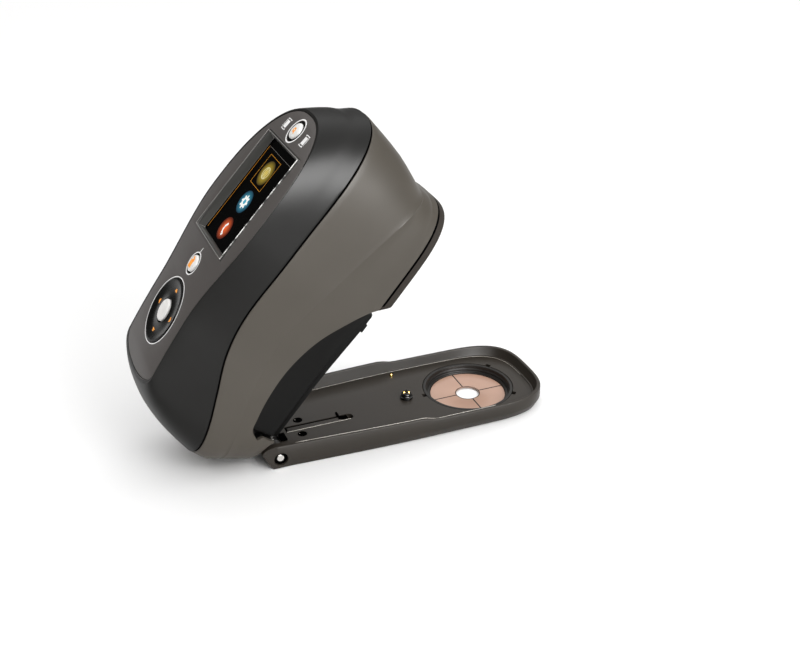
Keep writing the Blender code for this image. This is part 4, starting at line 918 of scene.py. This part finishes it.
# White print that also glows faintly: the glow is painted brightness.
white_ink = mottled("white_ink", (0.78, 0.77, 0.76), (0.90, 0.89, 0.88), 1500.0, 1.0, Roughness=0.5,
                    Emission_Strength=0.12, Emission_Color=(1, 1, 1, 1))


def lay_on_panel(bm, x, y=0):
    """Lay a flat bmesh, drawn about its own centre, on the panel's curve."""
    clearance = 0.00004
    for vert in bm.verts:
        along = x + vert.co.x
        vert.co = Vector((along, y + vert.co.y, panel_height(along) + clearance + vert.co.z))
    return bm


def band(radius, width, segments=128):
    """A flat printed ring, as a thin solid."""
    inside, outside = radius - width / 2, radius + width / 2
    return spun(((inside, 0), (outside, 0), (outside, -print_height), (inside, -print_height)), segments)


printed_rings = (("pad_line", pad_x, 0.0199, 0.0006), ("option_line", option_x, 0.0067, 0.00075),
                 ("measure_line", measure_x, 0.00745, 0.0009))
for name, x, radius, width in printed_rings:
    fit_to_instrument(as_mesh(name, lay_on_panel(band(radius, width), x)), white_ink)

# Small prints on the panel: two generic icons, each a framed bar, stand beside the measuring
# key, and a short tick beside the option key. They are white, as the ring lines are.


def bars(*prints, onto=None):
    """Thin printed bars, each given by its centre, its size and its angle in degrees."""
    bm = bmesh.new() if onto is None else onto
    for centre, size, angle in prints:
        place = Matrix.Translation((*centre, 0)) @ about(angle) @ Matrix.Diagonal((*size, print_height, 1))
        bmesh.ops.create_cube(bm, size=1, matrix=place)
    return bm


for number, y, out in ((1, -0.0159, -1), (2, 0.0151, 1)):
    icon = bars(((0, 0), (0.0046, 0.0036), 0), ((0, out * 0.0028), (0.0050, 0.0004), 0))
    for end in (-1, 1):
        bars(((end * 0.0034, 0), (0.0005, 0.0036), 0), ((end * 0.0031, -0.0022), (0.0005, 0.0012), end * 35),
             ((end * 0.0031, 0.0022), (0.0005, 0.0012), -end * 35), onto=icon)
    fit_to_instrument(as_mesh(f"side_icon_{number}", lay_on_panel(icon, 0.1583, y)), white_ink)
tick = bars(((0, 0), (0.0032, 0.0005), -9))
fit_to_instrument(as_mesh("option_tick", lay_on_panel(tick, 0.0762, 0.00045)), white_ink)

# Display. A satin black frame tapers down to a dark screen 4 mm below the panel. The screen
# shows three plain round icons, the last one framed as chosen, and two thin lines.

screen_level = -0.00386
line_half = 0.00012
line_thick = 0.00003
bezel_dark = moulded_plastic("bezel_satin_black", (0.046, 0.045, 0.041), 0.30, grain=0)
at_display = on_panel(display_x)
funnel = bmesh.new()
for corner in bmesh.ops.create_cube(funnel, size=1)["verts"]:
    reach_in, half_in, level = (0.0005, 0.0005, 0.0005) if corner.co.z > 0 else (0.0023, 0.0064, -0.0042)
    corner.co = Vector((math.copysign(display_reach - reach_in, corner.co.x),
                        math.copysign(display_half - half_in, corner.co.y), level))
bmesh.ops.transform(funnel, matrix=at_display, verts=funnel.verts)
surround = block_mesh((-display_reach, -display_half, -0.0036), (display_reach, display_half, 0.0005),
                      at_display)
bezel = as_mesh("display_frame", surround)
carve(bezel, skin([panel_ring(-0.0008), panel_ring(-0.0008, -0.006)]), funnel)
soften(bezel, 0.0002, 2)
fit_to_instrument(bezel, bezel_dark, "display_bezel")

dark_screen = mottled("dark_screen", (0.0002, 0.0002, 0.0002), (0.0006, 0.0006, 0.0006), 900.0, 2.0,
                      Roughness=0.2, Specular_IOR_Level=0.02)
dress(dark_screen, "display_glass")


def lit_ink(name, colour, deep, glow, centre=None, reach=None):
    """A colour on the lit screen. Round icons grow deeper from their centre to their rim."""
    material, shader, place = start_finish(name, Roughness=0.45, Specular_IOR_Level=0.1,
                                           Emission_Strength=glow)
    if centre is None:
        share = place.node("TexNoise", Vector=place, Scale=900.0, Detail=1.0)
    else:
        away = place.node("VectorMath", {"operation": "DISTANCE"}, output=1, values=(place, centre))
        share = away * (1 / reach)
    share.tint(colour, deep).into(shader, "Base Color", "Emission Color")
    return material


at_screen = tipped @ at_display @ Matrix.Translation((0, 0, screen_level))


def on_screen(name, bm, place, material, lift):
    piece = as_mesh(name, bm, at_screen @ Matrix.Translation((*place, lift)))
    finish_piece(piece, material, "instrument")


def screen_line(reach, half):
    return block_mesh((-reach, -half, -line_thick), (reach, half, line_thick))


screen_white = lit_ink("screen_white", (0.85, 0.85, 0.82), (0.60, 0.62, 0.60), 0.45)
globe_pale = lit_ink("globe_pale", (0.75, 0.72, 0.45), (0.55, 0.52, 0.25), 0.30)
icon_places = ((-0.0224, 0.0003), (-0.0044, 0.0010), (0.0149, 0.0020))
icon_reaches = (0.0070, 0.0071, 0.0077)
icon_colours = (((0.80, 0.13, 0.03), (0.045, 0.003, 0.001)), ((0.06, 0.36, 0.50), (0.002, 0.022, 0.045)),
                ((0.55, 0.40, 0.04), (0.030, 0.018, 0.002)))
icons = zip(icon_places, icon_reaches, icon_colours)
for number, (place, reach, (colour, deep)) in enumerate(icons, 1):
    centre = tuple(at_screen @ Vector((*place, 0)))
    icon_glow = lit_ink(f"icon_{number}_glow", colour, deep, 0.3, centre, reach)
    disc = bmesh.new()
    bmesh.ops.create_cone(disc, cap_ends=True, segments=64, radius1=reach, radius2=0.96 * reach,
                          depth=0.00005)
    on_screen(f"icon_{number}_face", disc, place, icon_glow, 0.00004)
pen = bars(((-0.0016, 0.0006), (0.0030, 0.0013), 30), ((0.0004, 0.0010), (0.0026, 0.0012), 0),
           ((0.0022, 0.0002), (0.0026, 0.0016), -38), ((-0.0034, -0.0010), (0.0016, 0.0018), 60))
wheel = band(0.0024, 0.0017, 48)
for tooth_number in range(8):
    turn = about(45 * tooth_number) @ Matrix.Translation((0.0036, 0, -print_height / 2))
    bmesh.ops.create_cube(wheel, size=1, matrix=turn @ Matrix.Diagonal((0.0013, 0.0012, print_height, 1)))
globe = band(0.0036, 0.0004, 48)
meridian = bmesh.ops.duplicate(globe, geom=globe.verts[:] + globe.edges[:] + globe.faces[:])
bmesh.ops.scale(globe, vec=(1, 0.45, 1), verts=grown_verts(meridian))
bars(*[((0, y), (0.0062, 0.0003), 0) for y in (-0.0017, 0, 0.0017)], onto=globe)
signs = ((pen, screen_white, 0.0001), (wheel, screen_white, 0.00013), (globe, globe_pale, 0.00013))
for number, (place, (sign, ink, lift)) in enumerate(zip(icon_places, signs), 1):
    on_screen(f"icon_{number}_sign", sign, place, ink, lift)

orange_line = lit_ink("orange_line", (0.55, 0.25, 0.02), (0.36, 0.15, 0.01), 0.4)
chosen_x, chosen_y = 0.0149, 0.0029
chosen_reach, chosen_half = 0.0094, 0.0089
for number, end in numbered_sides:
    on_screen(f"chosen_end_{number}", screen_line(line_half, chosen_half),
              (chosen_x + end * chosen_reach, chosen_y), orange_line, line_thick)
    on_screen(f"chosen_side_{number}", screen_line(chosen_reach, line_half),
              (chosen_x, chosen_y + end * chosen_half), orange_line, line_thick)
far_orange = lit_ink("far_orange", (0.50, 0.20, 0.02), (0.26, 0.10, 0.01), 0.4)
dim_line = lit_ink("dim_line", (0.22, 0.21, 0.19), (0.10, 0.10, 0.09), 0.2)
on_screen("far_line", screen_line(0.0283, 0.0002), (-0.0017, 0.0199), far_orange, line_thick)
on_screen("title_line", screen_line(0.0001, 0.0197), (0.0270, 0.0007), dim_line, line_thick)

# Painted highlights on the display's frame. Pale rods along its mitred corners and its outer edge are
# painted highlights, and a bright broken line along the near edge is a glowing painted highlight.

frame_highlight = moulded_plastic("polished_edge", (0.34, 0.33, 0.31), 0.25, grain=0)
upper = (display_reach - 0.0004, display_half - 0.0004, 0.00005)
lower = (display_reach - 0.0022, display_half - 0.0062, -0.0035)


def frame_line(name, start, end, radius, segments, material):
    """A thin rod between two of the frame's corners, each given as (along, across, level)."""
    corners = []
    for along, across_sign, (reach, half, height) in (start, end):
        corners.append(at_display @ Vector((along * reach, across_sign * half, height)))
    fit_to_instrument(as_mesh(name, rod_mesh(*corners, radius, segments)), material)


for number, corner in enumerate(((-1, 1), (1, 1), (-1, -1), (1, -1)), 1):
    frame_line(f"mitre_glint_{number}", (*corner, upper), (*corner, lower), 0.00013, 8, frame_highlight)
for number, (start, end) in enumerate((((-1, 1), (1, 1)), ((-1, -1), (-1, 1)), ((1, -1), (1, 1))), 1):
    frame_line(f"rim_glint_{number}", (*start, upper), (*end, upper), 0.00012, 8, frame_highlight)
# The near edge's line glows and is broken up by noise: a painted highlight.
glare, glare_shader, glare_place = start_finish("worn_bright_edge", Roughness=0.3, Emission_Strength=0.5)
highlight_noise = glare_place.node("TexNoise", Vector=glare_place, Scale=420.0, Detail=4.0, Roughness=0.7)
highlight_share = (highlight_noise - 0.44) * (1 / 0.12)
highlight_share.tint((0.03, 0.03, 0.03), (0.85, 0.84, 0.80)).into(glare_shader, "Base Color", "Emission Color")
frame_line("near_edge_glint", (-1, -1, upper), (1, -1, upper), 0.00024, 10, glare)

# Keys. The pad is one gloss black ring that rocks on its pivot, with four orange arrows. The
# white keys are soft mouldings, two of them in black collars and marked in orange.

at_pad, at_option, at_measure = [tipped @ on_panel(x) for x in (pad_x, option_x, measure_x)]
pad_gloss = moulded_plastic("pad_gloss_black", (0.0035, 0.0035, 0.0030), 0.24, grain=0.000004, gloss=0.12)
pad_profile = [(0.0190, 0), (0.0190, -0.0046), (0.0176, -0.0046), (0.0176, -0.0016), (0.0094, -0.0016),
               (0.0094, -0.0076), (0.0073, -0.0076), (0.0073, -0.0003), (0.0075, -0.0001), (0.0080, -0.0002),
               (0.0094, -0.0005), (0.0125, -0.0006), (0.0145, -0.0004), (0.0165, 0.0001), (0.0178, 0.0004),
               (0.0185, 0.0004), (0.0189, 0.0002)]
finish_piece(turned("rocker_pad", pad_profile, at_pad, 128), pad_gloss, "pad", "nav_pad")
# Orange print that also glows faintly: the glow is painted brightness.
orange = mottled("orange_ink", (0.70, 0.24, 0.02), (0.88, 0.36, 0.04), 900.0, 1.0, Roughness=0.4,
                 Emission_Strength=0.35, Emission_Color=(0.85, 0.30, 0.02, 1))
for number in range(4):
    arrow = bmesh.new()
    bmesh.ops.create_cone(arrow, cap_ends=True, segments=3, radius1=0.0019, radius2=0.0019, depth=0.00012)
    outward = about(90 * number) @ Matrix.Translation((0.0130, 0, -0.00052)) @ about(-90)
    finish_piece(as_mesh(f"pad_arrow_{number + 1}", arrow, at_pad @ outward), orange, "pad")

key_white = mottled("key_white", (0.86, 0.85, 0.82), (0.93, 0.92, 0.90), 300.0, 2.0, (0.40, 0.12))
keys = (("select", at_pad, 0.0065, "nav_button"), ("option", at_option, 0.0050, "option_button"),
        ("measure", at_measure, 0.0050, "measure_button"))
for name, place, radius, node in keys:
    cap = [(0, 0.0012), (0.35 * radius, 0.00118), (0.65 * radius, 0.00108), (0.85 * radius, 0.00085),
           (0.95 * radius, 0.00060), (radius, 0.0002), (radius, -0.0022), (0.0030, -0.0022),
           (0.0030, -0.0076), (0, -0.0076)]
    finish_piece(turned(f"{name}_cap", cap, place, 64), key_white, f"{name}_key", node)
for name, place, radius in (("option", at_option, 0.0058), ("measure", at_measure, 0.0063)):
    collar = [(0.0051, -0.0004), (0.0052, -0.0003), (radius - 0.0002, -0.0003), (radius, -0.0005),
              (radius, -0.0022), (0.0051, -0.0022)]
    finish_piece(turned(f"{name}_collar", collar, place, 64), pad_gloss, f"{name}_key")
option_sign = bars(((-0.0008, 0.0006), (0.0046, 0.0038), 0), ((0.0016, -0.0004), (0.0016, 0.0026), 20),
                   ((0.0030, 0.0002), (0.0011, 0.0024), -15))
measure_sign = bars(((-0.0012, -0.0010), (0.0022, 0.0008), 35), onto=band(0.0011, 0.0008, 40))
for name, place, sign, lift in (("option", at_option, option_sign, 0.00121),
                                ("measure", at_measure, measure_sign, 0.00125)):
    at_sign = place @ Matrix.Translation((0, 0, lift))
    finish_piece(as_mesh(f"{name}_sign", sign, at_sign), orange, f"{name}_key")

# Studio: a white floor in a dim, even surround, one wide sun overhead, soft lights and the camera
# at the photo's angle. A gleam is a light that only reflections show, so it draws highlights and
# brightens nothing.

floor_level = -0.0004
floor_bm = bmesh.new()
bmesh.ops.create_grid(floor_bm, x_segments=1, y_segments=1, size=6,
                      matrix=Matrix.Translation((0, 0, floor_level)))
floor = as_mesh("studio_floor", floor_bm)
floor_white = start_finish("floor_white", Base_Color=(0.90, 0.90, 0.90, 1), Roughness=0.9)[0]
floor.data.materials.append(floor_white)

world = bpy.data.worlds.new("studio_air")
bpy.context.scene.world = world
world.use_nodes = True
air = world.node_tree.nodes["Background"]
air.inputs["Color"].default_value = (1.0, 0.985, 0.96, 1)
air.inputs["Strength"].default_value = 0.15
bpy.context.scene.view_settings.view_transform = "Standard"


def soft_light(name, place, size, power, gleam=False):
    """A rectangular light, aimed at the instrument."""
    data = bpy.data.lights.new(name, "AREA")
    data.shape = "RECTANGLE"
    data.size, data.size_y = size
    data.energy = power
    lamp = add_object(name, data)
    lamp.location = place
    aim = Vector((0.03, 0, 0.15)) - Vector(place)
    lamp.rotation_euler = aim.to_track_quat("-Z", "Y").to_euler()
    lamp.visible_diffuse = not gleam


overhead = bpy.data.lights.new("overhead", "SUN")
overhead.energy = 3.0
overhead.angle = math.radians(110)
sky = add_object("overhead", overhead)
sky.rotation_euler = (math.radians(-8), math.radians(8), 0)
soft_light("front_box", (0.30, -0.77, 0.53), (0.5, 0.5), 4.5)
soft_light("front_gleam", (0.30, -0.80, 0.50), (0.7, 0.8), 38, gleam=True)
soft_light("side_gleam", (-0.32, -0.82, 0.62), (0.6, 0.6), 7, gleam=True)

lens = bpy.data.cameras.new("photo_camera")
lens.lens = 53.46
lens.sensor_width = 36.0
lens.clip_start = 0.01
camera = add_object("photo_camera", lens)
yaw, pitch, roll = 0.3801, 0.4883, -0.0055
camera.matrix_world = (Matrix.Translation((-0.1478, -0.5898, 0.3970)) @ Matrix.Rotation(-yaw, 4, "Z")
                       @ Matrix.Rotation(math.pi / 2 - pitch, 4, "X") @ Matrix.Rotation(roll, 4, "Z"))
bpy.context.scene.camera = camera
